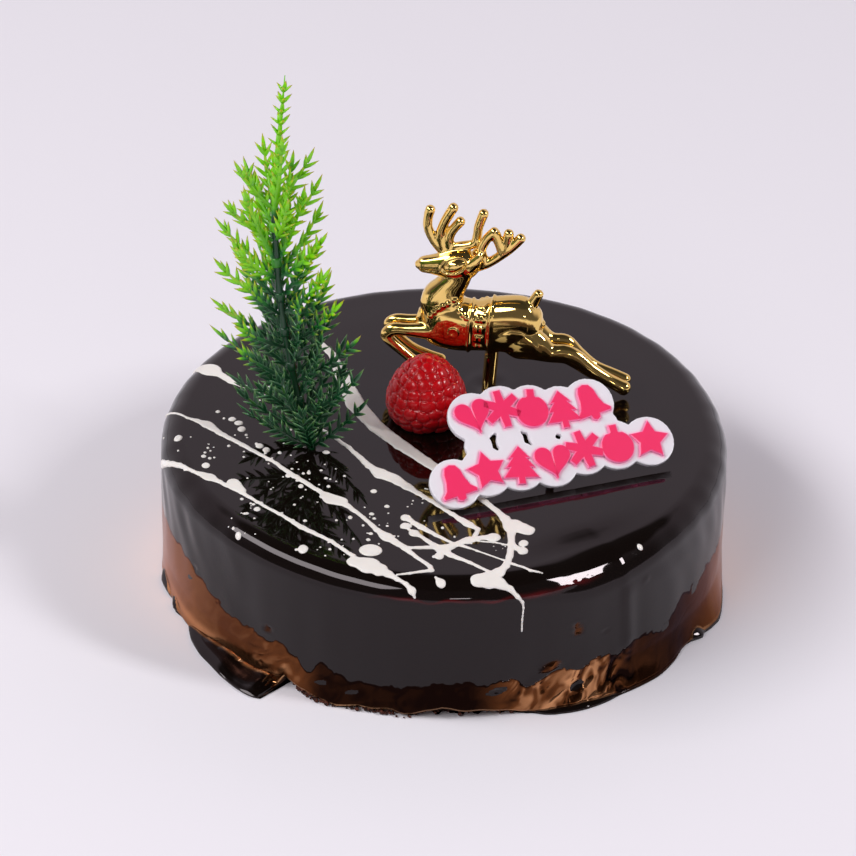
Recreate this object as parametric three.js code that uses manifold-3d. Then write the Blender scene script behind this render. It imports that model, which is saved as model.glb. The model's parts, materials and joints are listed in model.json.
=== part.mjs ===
// A round chocolate truffle cake under a dark mirror glaze, with the toppers that come with it:
// a plastic fir tree, a gilded leaping reindeer on a post, one raspberry and a festive plaque.
// Millimetres, +Z up. The origin is the centre of the cake's underside, and the front is -Y.
// Azimuths are degrees round the cake from the front, positive towards +X.

import * as THREE from "three";
import * as BufferGeometryUtils from "three/addons/utils/BufferGeometryUtils.js";
import Module from "manifold-3d";

const wasm = await Module();
wasm.setup();

// ---------------------------------------------------------------- driving dimensions

const CAKE = {
  radius: 82.6,
  height: 45.6,
  rimRound: 7,
  segments: 64,
  footLip: 0.9,
};
// A vertical fold where two sheets of glaze met while running down.
const FOLD = { azimuth: 41.4, halfWidth: 1.7, reach: 0.8, from: 4, to: 37 };
// Places where the glaze ran out over the foot before it set.
const LOBES = [
  { azimuth: -34.5, halfWidth: 5.5, reach: 7.6, height: 5 },
  { azimuth: -50, halfWidth: 11, reach: 4.2, height: 8 },
  { azimuth: -74, halfWidth: 6, reach: 1.6, height: 12 },
  { azimuth: 25, halfWidth: 9, reach: 2.2, height: 4 },
  { azimuth: 71, halfWidth: 6, reach: 2.8, height: 17 },
  { azimuth: 122, halfWidth: 9, reach: 3.4, height: 6 },
  { azimuth: 168, halfWidth: 7, reach: 2, height: 5 },
  { azimuth: -125, halfWidth: 8, reach: 3, height: 7 },
];
// Places where the glaze stops short of the underside and the sponge shows.
const BARE_FOOT = [
  { azimuth: -23, halfWidth: 5, lift: 5.2 },
  { azimuth: 66, halfWidth: 3.2, lift: 3.4 },
  { azimuth: 146, halfWidth: 7, lift: 3 },
];
const BARE_DEPTH = 3.4;
// Where the rim sags, it is rounder and a little lower.
const SAG = { azimuth: 27, halfWidth: 15, extraRound: 2.6, drop: 0.7 };

const GAP = 0.3;
const PICK_DEPTH = 10;

const TREE = {
  base: [-38.6, -13.1],
  stemTop: 88,
  tipTop: 121.5,
  lean: 10.4,
  leanApex: 79,
  stemRadius: 1.25,
  stemSides: 6,
  sleeveWall: 0.85,
  sleeveHeight: 3.2,
  tiers: 8,
  firstHub: 5,
  lastHub: 85,
  widest: 23.6,
  widestHub: 25,
  bladeThickness: 0.9,
};

const REINDEER = { base: [12.3, 22], turn: -8.3, postRadius: 2.1, pair: 2.6 };

const RASPBERRY = {
  at: [-5.6, 4.2],
  radius: 11.5,
  height: 20.2,
  widest: 0.36,
  relief: 0.9,
  drupelets: 13,
  rows: 6,
};

const PLAQUE = {
  at: [20.3, -38.2],
  turn: 20,
  tilt: 37,
  thickness: 1.8,
  relief: 0.8,
  margin: 1.7,
  lower: { from: -17, pitch: 9.95, level: 7.7, climb: 0.035 },
  upper: { from: -6.4, pitch: 8.7, level: 26.3, climb: -0.1 },
  motifSize: 5.6,
  prong: { at: [13, 10], radius: 1.3 },
};

// ---------------------------------------------------------------- small helpers

const degrees = THREE.MathUtils.degToRad;
const lerp = THREE.MathUtils.lerp;

/** Difference of two azimuths, from -180 to 180 degrees. */
function turnBetween(a, b) {
  return THREE.MathUtils.euclideanModulo(a - b + 180, 360) - 180;
}

/** A smooth hump round the cake: 1 at its azimuth, falling to nothing either side. */
function hump(azimuth, feature) {
  return Math.exp(-((turnBetween(azimuth, feature.azimuth) / feature.halfWidth) ** 2));
}

/** A closed geometry as a manifold solid, with its shared vertices merged. */
function solid(geometry) {
  const bare = new THREE.BufferGeometry();
  bare.setAttribute("position", geometry.getAttribute("position").clone());
  if (geometry.index) {
    bare.setIndex(geometry.index.clone());
  }
  const merged = BufferGeometryUtils.mergeVertices(bare, 1e-4);
  const vertProperties = new Float32Array(merged.getAttribute("position").array);
  const triVerts = new Uint32Array(merged.index.array);
  return new wasm.Manifold(new wasm.Mesh({ numProp: 3, vertProperties, triVerts }));
}

/** A manifold solid back as a geometry. */
function geometryOf(manifold) {
  const mesh = manifold.getMesh();
  const geometry = new THREE.BufferGeometry();
  geometry.setAttribute("position", new THREE.BufferAttribute(mesh.vertProperties, 3));
  geometry.setIndex(new THREE.BufferAttribute(mesh.triVerts, 1));
  geometry.computeVertexNormals();
  return geometry;
}

/** The union of several closed geometries. */
function join(geometries) {
  return geometries.map(solid).reduce((whole, next) => whole.add(next));
}

/** A closed skin over rings of equal length, each ring counterclockwise seen from above the next. */
function skin(rings, bottom, top) {
  const sides = rings[0].length;
  const points = [...rings.flat(), bottom, top];
  const index = [];
  for (let ring = 0; ring + 1 < rings.length; ring += 1) {
    for (let side = 0; side < sides; side += 1) {
      const a = ring * sides + side;
      const b = ring * sides + ((side + 1) % sides);
      index.push(a, b, b + sides, a, b + sides, a + sides);
    }
  }
  const lastRing = (rings.length - 1) * sides;
  for (let side = 0; side < sides; side += 1) {
    const next = (side + 1) % sides;
    index.push(points.length - 2, next, side);
    index.push(points.length - 1, lastRing + side, lastRing + next);
  }
  const geometry = new THREE.BufferGeometry();
  geometry.setAttribute("position", new THREE.Float32BufferAttribute(points.flat(), 3));
  geometry.setIndex(index);
  return geometry;
}

/** A named mesh with its own material. */
function part(name, geometry, color, roughness, metalness = 0) {
  geometry.computeVertexNormals();
  const mesh = new THREE.Mesh(
    geometry,
    new THREE.MeshStandardMaterial({ color, roughness, metalness }),
  );
  mesh.name = name;
  return mesh;
}

// ---------------------------------------------------------------- the cake

/** How far the glaze stands out from the plain wall. */
function glazeStandOff(azimuth, height) {
  const t = degrees(azimuth);
  const gentle = 0.35 * Math.sin(3 * t + 0.4) + 0.25 * Math.sin(5 * t + 2.1);
  const foot = Math.exp(-height / 8);
  const ripples = foot * (0.5 * Math.sin(11 * t + 1) + 0.35 * Math.sin(17 * t + 0.3));
  const lobes = LOBES.reduce(
    (sum, lobe) => sum + lobe.reach * hump(azimuth, lobe) * Math.exp(-((height / lobe.height) ** 2)),
    0,
  );
  const onFold = height > FOLD.from && height < FOLD.to;
  const fold = onFold ? FOLD.reach * hump(azimuth, FOLD) : 0;
  return gentle + ripples + lobes + fold;
}

/** How high the glaze's lower edge stands above the underside. */
function bareLift(azimuth) {
  return BARE_FOOT.reduce((sum, bare) => sum + bare.lift * hump(azimuth, bare), 0);
}

/** The azimuths of the cake's columns: even steps, and three more close together on the fold. */
function cakeColumns() {
  const even = Array.from({ length: CAKE.segments }, (_, i) => -180 + (360 * i) / CAKE.segments);
  const clear = even.filter((azimuth) => Math.abs(azimuth - FOLD.azimuth) > 1.5 * FOLD.halfWidth);
  const fold = [-1, 0, 1].map((step) => FOLD.azimuth + step * FOLD.halfWidth);
  return [...clear, ...fold].sort((a, b) => a - b);
}

/** One column of the cake's surface, from the underside's edge up the wall, round the rim and in. */
function cakeColumn(azimuth) {
  const lift = bareLift(azimuth);
  const bare = BARE_DEPTH * Math.min(1, lift / 1.5);
  const sag = hump(azimuth, SAG);
  const round = CAKE.rimRound + SAG.extraRound * sag;
  const topHeight = CAKE.height - SAG.drop * sag;
  const wallTop = topHeight - round;
  const lip = CAKE.footLip + lift;
  const radiusAt = (height) => CAKE.radius + glazeStandOff(azimuth, height);
  const profile = [
    [radiusAt(0) - 0.6 - bare, 0],
    [radiusAt(lip) - 0.3 - bare, 0.45 * CAKE.footLip + lift],
    [radiusAt(lip), lip],
  ];
  for (const share of [0.07, 0.16, 0.3, 0.5, 0.75]) {
    const height = lerp(lip, wallTop, share);
    profile.push([radiusAt(height), height]);
  }
  const rimSteps = 4;
  const rimRadius = radiusAt(wallTop);
  for (let step = 0; step <= rimSteps; step += 1) {
    const angle = (step / rimSteps) * (Math.PI / 2);
    const inward = round * (1 - Math.cos(angle));
    profile.push([rimRadius - inward, wallTop + round * Math.sin(angle)]);
  }
  profile.push([0.8 * CAKE.radius, CAKE.height], [0.4 * CAKE.radius, CAKE.height]);
  const t = degrees(azimuth);
  return profile.map(([radius, height]) => [radius * Math.sin(t), -radius * Math.cos(t), height]);
}

/** A round pocket in the top for a topper's pick. */
function pocket(x, y, radius) {
  const depth = PICK_DEPTH + 2 * GAP;
  const hole = new THREE.CylinderGeometry(radius + 2 * GAP, radius + 2 * GAP, 2 * depth, 12);
  hole.rotateX(Math.PI / 2);
  hole.translate(x, y, CAKE.height);
  return solid(hole);
}

function makeCake() {
  const columns = cakeColumns().map(cakeColumn);
  const rings = columns[0].map((_, row) => columns.map((column) => column[row]));
  const body = solid(skin(rings, [0, 0, 0], [0, 0, CAKE.height]));
  const [treeX, treeY] = TREE.base;
  const [deerX, deerY] = REINDEER.base;
  const prong = prongFoot();
  const whole = body
    .subtract(pocket(treeX, treeY, TREE.stemRadius + 0.8))
    .subtract(pocket(deerX, deerY, REINDEER.postRadius))
    .subtract(pocket(prong.x, prong.y, PLAQUE.prong.radius));
  return part("cake", geometryOf(whole), 0x1b1211, 0.12);
}

// ---------------------------------------------------------------- the fir tree

/** The stem's sideways place at a height above the cake: it bows to the left and back. */
function stemOffset(height) {
  return -TREE.lean * (1 - ((height - TREE.leanApex) / TREE.leanApex) ** 2);
}

/** The stem's lean from upright at a height, in radians about Y. */
function stemLean(height) {
  return Math.atan((2 * TREE.lean * (height - TREE.leanApex)) / TREE.leanApex ** 2);
}

/** The height of a tier's hub above the cake. */
function hubHeight(tier) {
  return lerp(TREE.firstHub, TREE.lastHub, tier / (TREE.tiers - 1));
}

/** How far a tier's sprigs reach from the stem. */
function tierReach(height) {
  const above = Math.max(0, height - TREE.widestHub);
  const below = Math.max(0, TREE.widestHub - height);
  return TREE.widest - 0.09 * above - 0.0016 * above ** 2 - 0.15 * below;
}

function makeStem() {
  const sides = TREE.stemSides;
  const heights = [-PICK_DEPTH, 0];
  for (let tier = 0; tier < TREE.tiers; tier += 1) {
    heights.push(hubHeight(tier));
  }
  heights.push(TREE.stemTop);
  const ringAt = (height) => {
    const radius = TREE.stemRadius * (height < 0 ? 0.8 : lerp(1, 0.8, height / TREE.stemTop));
    return Array.from({ length: sides }, (_, side) => {
      const t = (2 * Math.PI * side) / sides;
      const x = stemOffset(Math.max(0, height)) + radius * Math.cos(t);
      return [x, radius * Math.sin(t), height];
    });
  };
  const bottom = [0, 0, -PICK_DEPTH];
  const top = [stemOffset(TREE.stemTop), 0, TREE.stemTop];
  return part("tree_stem", skin(heights.map(ringAt), bottom, top), 0x14503a, 0.45);
}

/** A flat sprig along +X: a rib with pairs of needles that point forwards. */
function sprigBlade(length, halfWidth, pairs) {
  const rib = 0.6;
  const shape = new THREE.Shape();
  shape.moveTo(0, -rib);
  const step = length / (pairs + 0.6);
  const needle = (pair, side) => {
    const root = step * (pair + 0.25);
    const spread = halfWidth * (pair === pairs - 1 ? 0.62 : 1);
    return [
      [root, side * rib],
      [root + 0.8 * step, side * spread],
    ];
  };
  for (let pair = 0; pair < pairs; pair += 1) {
    needle(pair, -1).forEach(([x, y]) => shape.lineTo(x, y));
  }
  shape.lineTo(length, 0);
  for (let pair = pairs - 1; pair >= 0; pair -= 1) {
    needle(pair, 1).reverse().forEach(([x, y]) => shape.lineTo(x, y));
  }
  shape.lineTo(0, rib);
  const blade = new THREE.ExtrudeGeometry(shape, {
    depth: TREE.bladeThickness,
    bevelEnabled: false,
  });
  blade.translate(0, 0, -TREE.bladeThickness / 2);
  return blade;
}

/** One tier: a sleeve round the stem with a whorl of sprigs that slant up and out. */
function makeTier(tier) {
  const height = hubHeight(tier);
  const inner = TREE.stemRadius + 0.45;
  const outer = inner + TREE.sleeveWall;
  const half = TREE.sleeveHeight / 2;
  const wall = [
    [inner, -half],
    [outer, -half],
    [outer, half],
    [inner, half],
    [inner, -half],
  ];
  const profile = wall.map(([radius, along]) => new THREE.Vector2(radius, along));
  const sleeve = new THREE.LatheGeometry(profile, TREE.stemSides);
  sleeve.rotateX(Math.PI / 2);
  sleeve.rotateZ(Math.PI / 2);
  const rise = Math.min(14, 5 + 0.21 * height);
  const reach = tierReach(height);
  const slant = Math.atan2(rise, reach);
  const count = 5;
  const start = inner + 0.4 * TREE.sleeveWall;
  const pieces = [sleeve];
  for (let sprig = 0; sprig < count; sprig += 1) {
    const share = 0.95 + 0.05 * Math.cos(2.4 * sprig + 0.7 * tier);
    const length = (Math.hypot(rise, reach) - start) * share;
    const blade = sprigBlade(length, 0.19 * reach + 0.9, 3);
    blade.rotateY(-slant);
    blade.translate(start, 0, 0);
    blade.rotateZ((2 * Math.PI * sprig) / count + Math.PI * tier + 0.12 * tier);
    pieces.push(blade);
  }
  const color = new THREE.Color(0x17503a).lerp(new THREE.Color(0x6fbe1e), tier / (TREE.tiers - 1));
  const mesh = part(`tree_tier_${tier + 1}`, geometryOf(join(pieces)), color, 0.5);
  mesh.position.set(stemOffset(height), 0, height);
  mesh.rotation.y = stemLean(height);
  return mesh;
}

/** The spire: two crossed upright sprigs on the end of the stem. */
function makeTip() {
  const length = TREE.tipTop - TREE.stemTop - GAP;
  const blades = [0, 1].map((crossed) => {
    const blade = sprigBlade(length, 4.2, 4);
    blade.rotateX((crossed * Math.PI) / 2);
    blade.rotateY(-Math.PI / 2);
    return blade;
  });
  const core = new THREE.CylinderGeometry(0.3, 1.1, 0.8 * length, 6);
  core.rotateX(Math.PI / 2);
  core.translate(0, 0, 0.4 * length);
  const mesh = part("tree_tip", geometryOf(join([core, ...blades])), 0x7cc623, 0.5);
  const height = TREE.stemTop + GAP;
  mesh.position.set(stemOffset(height), 0, height);
  mesh.rotation.y = Math.atan2(stemOffset(TREE.tipTop) - stemOffset(height), length);
  return mesh;
}

function makeTree() {
  const tree = new THREE.Group();
  tree.position.set(TREE.base[0], TREE.base[1], CAKE.height);
  tree.add(makeStem());
  for (let tier = 0; tier < TREE.tiers; tier += 1) {
    tree.add(makeTier(tier));
  }
  tree.add(makeTip());
  return tree;
}

// ---------------------------------------------------------------- the reindeer

// Stations are [along, up, half-depth across the limb, half-thickness]. The figure looks towards -X.

/** A closed tube through stations in the figure's plane, set aside from it by an offset. */
function limb(stations, sides, aside = 0) {
  const rings = stations.map(([along, up, half, thick], i) => {
    const before = stations[Math.max(0, i - 1)];
    const after = stations[Math.min(stations.length - 1, i + 1)];
    const tangent = new THREE.Vector2(after[0] - before[0], after[1] - before[1]).normalize();
    return Array.from({ length: sides }, (_, side) => {
      const t = (2 * Math.PI * (side + 0.5)) / sides;
      const across = half * Math.cos(t);
      const x = along - tangent.y * across;
      const z = up + tangent.x * across;
      return [x, aside - thick * Math.sin(t), z];
    });
  });
  const first = stations[0];
  const last = stations[stations.length - 1];
  return skin(rings, [first[0], aside, first[1]], [last[0], aside, last[1]]);
}

/** A round antler branch through points, with a blunt tip. */
function antler(points, radius = 1.1) {
  const stations = points.map(([along, up]) => [along, up, radius, radius]);
  const [x1, z1] = points[points.length - 2];
  const [x2, z2] = points[points.length - 1];
  const run = Math.hypot(x2 - x1, z2 - z1);
  const over = (0.6 * radius) / run;
  const tip = [x2 + (x2 - x1) * over, z2 + (z2 - z1) * over];
  stations.push([...tip, 0.55 * radius, 0.55 * radius]);
  return limb(stations, 5);
}

function makeReindeer() {
  const trunk = [
    [-19, 22, 4, 2.4],
    [-16.5, 21.3, 7.6, 4.4],
    [-10, 20.5, 8.3, 5.4],
    [-4, 20.3, 7.6, 5.4],
    [3, 21.2, 8, 5.3],
    [9.6, 22.4, 8.1, 5.2],
    [13.4, 22.2, 6.4, 4.3],
    [15.2, 22, 3.6, 2.6],
  ];
  const girth = [
    [-6.2, 20, 7.7, 5.8],
    [0.6, 20.8, 8.4, 5.8],
  ];
  const neck = [
    [-12.4, 22.5, 7.6, 4.4],
    [-13.8, 28.2, 6.6, 3.9],
    [-12.3, 32, 4.4, 3.2],
    [-9.9, 35.5, 3.2, 2.9],
    [-8.8, 39, 3.2, 2.9],
  ];
  const head = [
    [-4.4, 40.4, 1.5, 1.4],
    [-6.4, 40.2, 3.4, 2.8],
    [-10.6, 40.1, 4, 3.4],
    [-14.2, 39.9, 3.6, 2.9],
    [-18, 39.6, 2.3, 2],
    [-20.6, 39.3, 1.7, 1.6],
    [-21.5, 39.2, 0.8, 0.8],
  ];
  const upperForeleg = [
    [-13, 19.4, 3.2, 2.2],
    [-18, 18.7, 2.6, 1.9],
    [-24, 18.2, 2, 1.6],
    [-28.4, 18, 2, 1.6],
    [-30.2, 16.2, 1.9, 1.5],
  ];
  const nearShin = [
    [-29, 14, 1.6, 1.4],
    [-24.2, 9.6, 1.4, 1.3],
    [-20.2, 6.4, 1.5, 1.4],
    [-18.2, 4.8, 1.7, 1.5],
  ];
  const farShin = [
    [-28, 12.6, 1.6, 1.4],
    [-23.6, 9, 1.4, 1.3],
    [-18.6, 7, 1.4, 1.3],
    [-14.6, 5.5, 1.7, 1.5],
  ];
  const thigh = [
    [5, 21, 4.4, 2.2],
    [10, 19.8, 6.4, 3],
    [15.5, 17.6, 4.9, 2.7],
  ];
  const nearHindShank = [
    [20, 15, 3, 2.1],
    [24, 13.1, 2.5, 1.8],
    [28, 10.8, 1.9, 1.6],
    [35, 6.5, 1.7, 1.5],
    [39.4, 3.9, 1.8, 1.6],
    [42, 2.6, 1.9, 1.7],
  ];
  const farHindShank = [
    [20, 16.2, 2.6, 1.9],
    [23.2, 15.2, 2.2, 1.8],
    [27, 11, 1.8, 1.6],
    [35, 6.2, 1.6, 1.5],
    [40, 3.9, 1.7, 1.6],
    [42.4, 2.9, 1.8, 1.7],
  ];
  const tail = [
    [12.6, 28.6, 1.5, 1.3],
    [14, 31, 1.1, 1],
    [15.2, 33.4, 1, 1],
  ];
  const ear = [
    [-6, 41, 1.2, 1.2],
    [-3.8, 42.4, 1, 0.9],
    [-2.8, 43, 0.4, 0.4],
  ];
  const post = [
    [0, -PICK_DEPTH, REINDEER.postRadius * 0.75, REINDEER.postRadius * 0.75],
    [0, 0, REINDEER.postRadius, REINDEER.postRadius],
    [0.9, 16, REINDEER.postRadius, REINDEER.postRadius],
  ];
  const foreAntler = [
    [[-13.4, 43], [-15, 47], [-17.4, 51], [-18.2, 54.6], [-17.8, 57.4]],
    [[-13, 43], [-13.9, 48], [-13.3, 53], [-11.4, 58.8]],
    [[-12, 43.4], [-12.3, 48], [-11.2, 51.4], [-9.5, 54]],
    [[-13.4, 43.4], [-9.4, 45.6], [-5.8, 47.4], [-5.4, 50.4], [-4.4, 54], [-2.6, 57.8]],
  ];
  const rearAntler = [
    [[-7.4, 39.4], [-1.2, 42], [3.4, 45.8], [6.6, 48.6], [9.2, 51.6]],
    [[-1.4, 41.8], [-2.4, 45.8], [-1, 50], [0.8, 53]],
    [[3, 45.4], [1.8, 49.6], [0.9, 52.6]],
    [[3.4, 45.8], [4.4, 49.8], [5.1, 52.8]],
  ];
  const pieces = [
    limb(trunk, 10),
    limb(girth, 10),
    limb(neck, 8),
    limb(head, 8),
    limb(tail, 6),
    limb(ear, 5, -2.2),
    limb(ear, 5, 2.2),
    limb(post, 8),
    limb([...upperForeleg, ...nearShin], 6, -REINDEER.pair),
    limb([...upperForeleg, ...farShin], 6, REINDEER.pair),
    limb([...thigh, ...nearHindShank], 6, -REINDEER.pair),
    limb([...thigh, ...farHindShank], 6, REINDEER.pair),
    ...foreAntler.map((points) => antler(points).translate(0, 1, 0)),
    ...rearAntler.map((points) => antler(points).translate(0, -1, 0)),
  ];
  const mesh = part("reindeer", geometryOf(join(pieces)), 0xb8892f, 0.15, 1);
  mesh.position.set(REINDEER.base[0], REINDEER.base[1], CAKE.height);
  mesh.rotation.z = degrees(REINDEER.turn);
  return mesh;
}

// ---------------------------------------------------------------- the raspberry

/** The berry's plain radius at a share of its height: an upright dome, drawn in below. */
function berryRadius(share) {
  const { radius, widest } = RASPBERRY;
  if (share < widest) {
    return radius * (1 - 0.24 * (1 - share / widest) ** 2);
  }
  const up = (share - widest) / (1 - widest);
  return radius * Math.sqrt(1 - up ** 2.1);
}

/** The berry: rows of drupelets, each a peak between valleys, set half a step on from row to row. */
function makeRaspberry() {
  const { drupelets, rows, relief, height, at } = RASPBERRY;
  const segments = 2 * drupelets;
  const rings = [];
  for (let level = 0; level < 2 * rows; level += 1) {
    const share = Math.sin((level / (2 * rows)) * (Math.PI / 2));
    const isPeakLevel = level % 2 === 1;
    const shift = ((level - 1) / 2) % 2;
    rings.push(
      Array.from({ length: segments }, (_, side) => {
        const isPeak = isPeakLevel && side % 2 === shift;
        const stand = (isPeak ? relief : -0.4 * relief) * (1 - share ** 4);
        const radius = berryRadius(share) + stand;
        const t = (2 * Math.PI * side) / segments;
        return [radius * Math.cos(t), radius * Math.sin(t), share * height];
      }),
    );
  }
  const berry = skin(rings, [0, 0, 0], [0, 0, height]);
  const mesh = part("raspberry", berry, 0xa81c2c, 0.5);
  mesh.position.set(at[0], at[1], CAKE.height + GAP);
  return mesh;
}

// ---------------------------------------------------------------- the plaque

/** A closed outline from a radius that varies with angle. */
function radialShape(points, radiusAt, start = Math.PI / 2) {
  const outline = Array.from({ length: points }, (_, i) => {
    const t = start + (2 * Math.PI * i) / points;
    const radius = radiusAt(i, t);
    return new THREE.Vector2(radius * Math.cos(t), radius * Math.sin(t));
  });
  return new THREE.Shape(outline);
}

// Motifs fit a circle of radius 1.
const MOTIFS = {
  star: () => radialShape(10, (i) => (i % 2 ? 0.45 : 1)),
  snowflake: () => radialShape(12, (i) => (i % 2 ? 0.36 : 1)),
  bauble: () => {
    const shape = new THREE.Shape();
    shape.absarc(0, -0.2, 0.74, degrees(76), degrees(104), true);
    shape.lineTo(-0.18, 0.9);
    shape.lineTo(0.18, 0.9);
    return shape;
  },
  heart: () => {
    const shape = new THREE.Shape();
    shape.moveTo(0, -0.85);
    shape.bezierCurveTo(-0.5, -0.35, -0.95, 0.1, -0.9, 0.45);
    shape.bezierCurveTo(-0.85, 0.9, -0.2, 0.95, 0, 0.4);
    shape.bezierCurveTo(0.2, 0.95, 0.85, 0.9, 0.9, 0.45);
    shape.bezierCurveTo(0.95, 0.1, 0.5, -0.35, 0, -0.85);
    return shape;
  },
  bell: () => {
    const shape = new THREE.Shape();
    shape.moveTo(-0.85, -0.55);
    shape.bezierCurveTo(-0.4, -0.3, -0.7, 0.75, 0, 0.9);
    shape.bezierCurveTo(0.7, 0.75, 0.4, -0.3, 0.85, -0.55);
    shape.absarc(0, -0.6, 0.27, 0, Math.PI, true);
    return shape;
  },
  fir: () => {
    const half = [
      [0.16, -0.95],
      [0.16, -0.62],
      [0.8, -0.62],
      [0.36, -0.1],
      [0.62, -0.1],
      [0.24, 0.4],
      [0.44, 0.4],
    ];
    const mirrored = half.map(([x, y]) => [-x, y]).reverse();
    const outline = [...half, [0, 1], ...mirrored];
    return new THREE.Shape(outline.map(([x, y]) => new THREE.Vector2(x, y)));
  },
};

const LOWER_ROW = ["bell", "star", "fir", "heart", "snowflake", "bauble", "star"];
const UPPER_ROW = ["heart", "snowflake", "bauble", "fir", "bell"];

/** The centre of each motif in a row, in the plaque's own plane. */
function rowPlaces(row, names) {
  return names.map((name, i) => {
    const x = row.from + i * row.pitch;
    const y = row.level + row.climb * (x - row.from) - 0.9 * Math.cos(2.1 * i + 0.3);
    return { name, x, y, spin: degrees(9 * Math.sin(1.7 * i + 1)) };
  });
}

/** A slab of the plaque, extruded from one depth to another. */
function slab(shape, from, to, curveSegments) {
  const geometry = new THREE.ExtrudeGeometry(shape, {
    depth: to - from,
    bevelEnabled: false,
    curveSegments,
  });
  return geometry.translate(0, 0, from);
}

/** The plaque's own axes: x along it, y up its slope, z out of its face. */
function plaqueMatrix() {
  const turn = new THREE.Matrix4().makeRotationZ(degrees(PLAQUE.turn));
  const tilt = new THREE.Matrix4().makeRotationX(degrees(PLAQUE.tilt));
  const place = new THREE.Matrix4().makeTranslation(PLAQUE.at[0], PLAQUE.at[1], CAKE.height + GAP);
  return place.multiply(turn).multiply(tilt);
}

/** Where the prong leaves the back of the plate, which is straight above where it enters the cake. */
function prongFoot() {
  const [x, y] = PLAQUE.prong.at;
  return new THREE.Vector3(x, y, PLAQUE.thickness / 2).applyMatrix4(plaqueMatrix());
}

function makePlaque() {
  const places = [...rowPlaces(PLAQUE.lower, LOWER_ROW), ...rowPlaces(PLAQUE.upper, UPPER_ROW)];
  const plateRadius = PLAQUE.motifSize + PLAQUE.margin;
  const bridge = { x: 12, y: 16.6, radius: 4.2, count: 5 };
  const plates = places.map(({ x, y }) => {
    const disc = radialShape(12, () => plateRadius);
    return slab(disc, 0, PLAQUE.thickness, 1).translate(x, y, 0);
  });
  for (let i = 0; i < bridge.count; i += 1) {
    const x = bridge.x + (i - (bridge.count - 1) / 2) * 9.6;
    const disc = radialShape(8, () => bridge.radius);
    plates.push(slab(disc, 0, PLAQUE.thickness, 1).translate(x, bridge.y, 0));
  }
  const motifs = places.map(({ name, x, y, spin }) => {
    const raised = slab(MOTIFS[name](), 0, 1, 3);
    raised.scale(PLAQUE.motifSize, PLAQUE.motifSize, PLAQUE.thickness / 2 + PLAQUE.relief);
    return raised.rotateZ(spin).translate(x, y, PLAQUE.thickness / 2);
  });
  const matrix = plaqueMatrix();
  const plate = join([...plates, ...motifs]);
  const foot = prongFoot();
  const prongLow = CAKE.height - PICK_DEPTH;
  const prong = new THREE.CylinderGeometry(PLAQUE.prong.radius, 0.7, foot.z - prongLow, 8);
  prong.rotateX(Math.PI / 2);
  prong.translate(foot.x, foot.y, (foot.z + prongLow) / 2);
  const whole = solid(geometryOf(plate).applyMatrix4(matrix)).add(solid(prong));
  return part("plaque", geometryOf(whole), 0xf2f0f4, 0.3);
}

// ---------------------------------------------------------------- the whole

const cake = new THREE.Group();
cake.add(makeCake(), makeTree(), makeReindeer(), makeRaspberry(), makePlaque());

export default cake;
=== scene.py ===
"""A round chocolate truffle cake under dark mirror glaze, with its festive toppers.

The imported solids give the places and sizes. This file dresses them: poured glaze with white
drizzle, a moulded fir tree, a gilt reindeer, one raspberry and a plaque with raised motifs.
Sizes inside the classes are millimetres; meshes are written in metres.
"""

import json
import logging
import random
from dataclasses import dataclass, field
from enum import Enum
from math import atan, atan2, copysign, cos, hypot, pi, radians, sin, sqrt
from typing import Any, Sequence

import bpy
import numpy as np
from mathutils import Matrix, Vector

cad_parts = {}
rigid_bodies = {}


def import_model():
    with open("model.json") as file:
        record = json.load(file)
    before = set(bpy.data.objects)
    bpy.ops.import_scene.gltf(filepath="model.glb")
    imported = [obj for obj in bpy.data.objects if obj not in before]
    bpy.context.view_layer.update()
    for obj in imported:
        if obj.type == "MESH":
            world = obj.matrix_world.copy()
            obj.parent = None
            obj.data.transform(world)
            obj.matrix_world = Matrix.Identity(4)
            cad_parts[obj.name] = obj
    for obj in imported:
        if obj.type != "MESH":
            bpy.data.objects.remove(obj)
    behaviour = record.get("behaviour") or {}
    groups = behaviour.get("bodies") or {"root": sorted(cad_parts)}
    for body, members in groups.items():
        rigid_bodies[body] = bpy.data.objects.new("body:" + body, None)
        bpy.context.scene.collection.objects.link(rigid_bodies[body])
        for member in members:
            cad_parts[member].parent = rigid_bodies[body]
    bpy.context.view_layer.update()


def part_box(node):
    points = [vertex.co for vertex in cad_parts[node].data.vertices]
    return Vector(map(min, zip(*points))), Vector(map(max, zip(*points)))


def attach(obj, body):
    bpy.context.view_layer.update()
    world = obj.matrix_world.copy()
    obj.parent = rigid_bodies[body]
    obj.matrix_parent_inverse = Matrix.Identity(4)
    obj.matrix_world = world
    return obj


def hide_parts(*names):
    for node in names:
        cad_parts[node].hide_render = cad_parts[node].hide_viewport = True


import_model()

MM = 0.001
CAKE_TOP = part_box("cake")[1][2] / MM
BODY = "root"
LOG = logging.getLogger("truffle_cake")

Points = np.ndarray
Pair = tuple[float, float]
Row = tuple[float, float, float, float]
Colour = Row
Limb = tuple[Row, ...]
Guide = tuple[tuple[float, ...], ...]


# ---- small helpers


def linear(hex_value: str) -> Colour:
    """Turn an sRGB hex colour to the linear values that a shader takes.

    Args:
        hex_value: six hex digits, red first.

    Returns:
        Linear red, green, blue and an alpha of one.
    """
    channels = [int(hex_value[i : i + 2], 16) / 255 for i in (0, 2, 4)]
    curve = [c / 12.92 if c <= 0.04045 else ((c + 0.055) / 1.055) ** 2.4 for c in channels]
    return (curve[0], curve[1], curve[2], 1.0)


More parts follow.
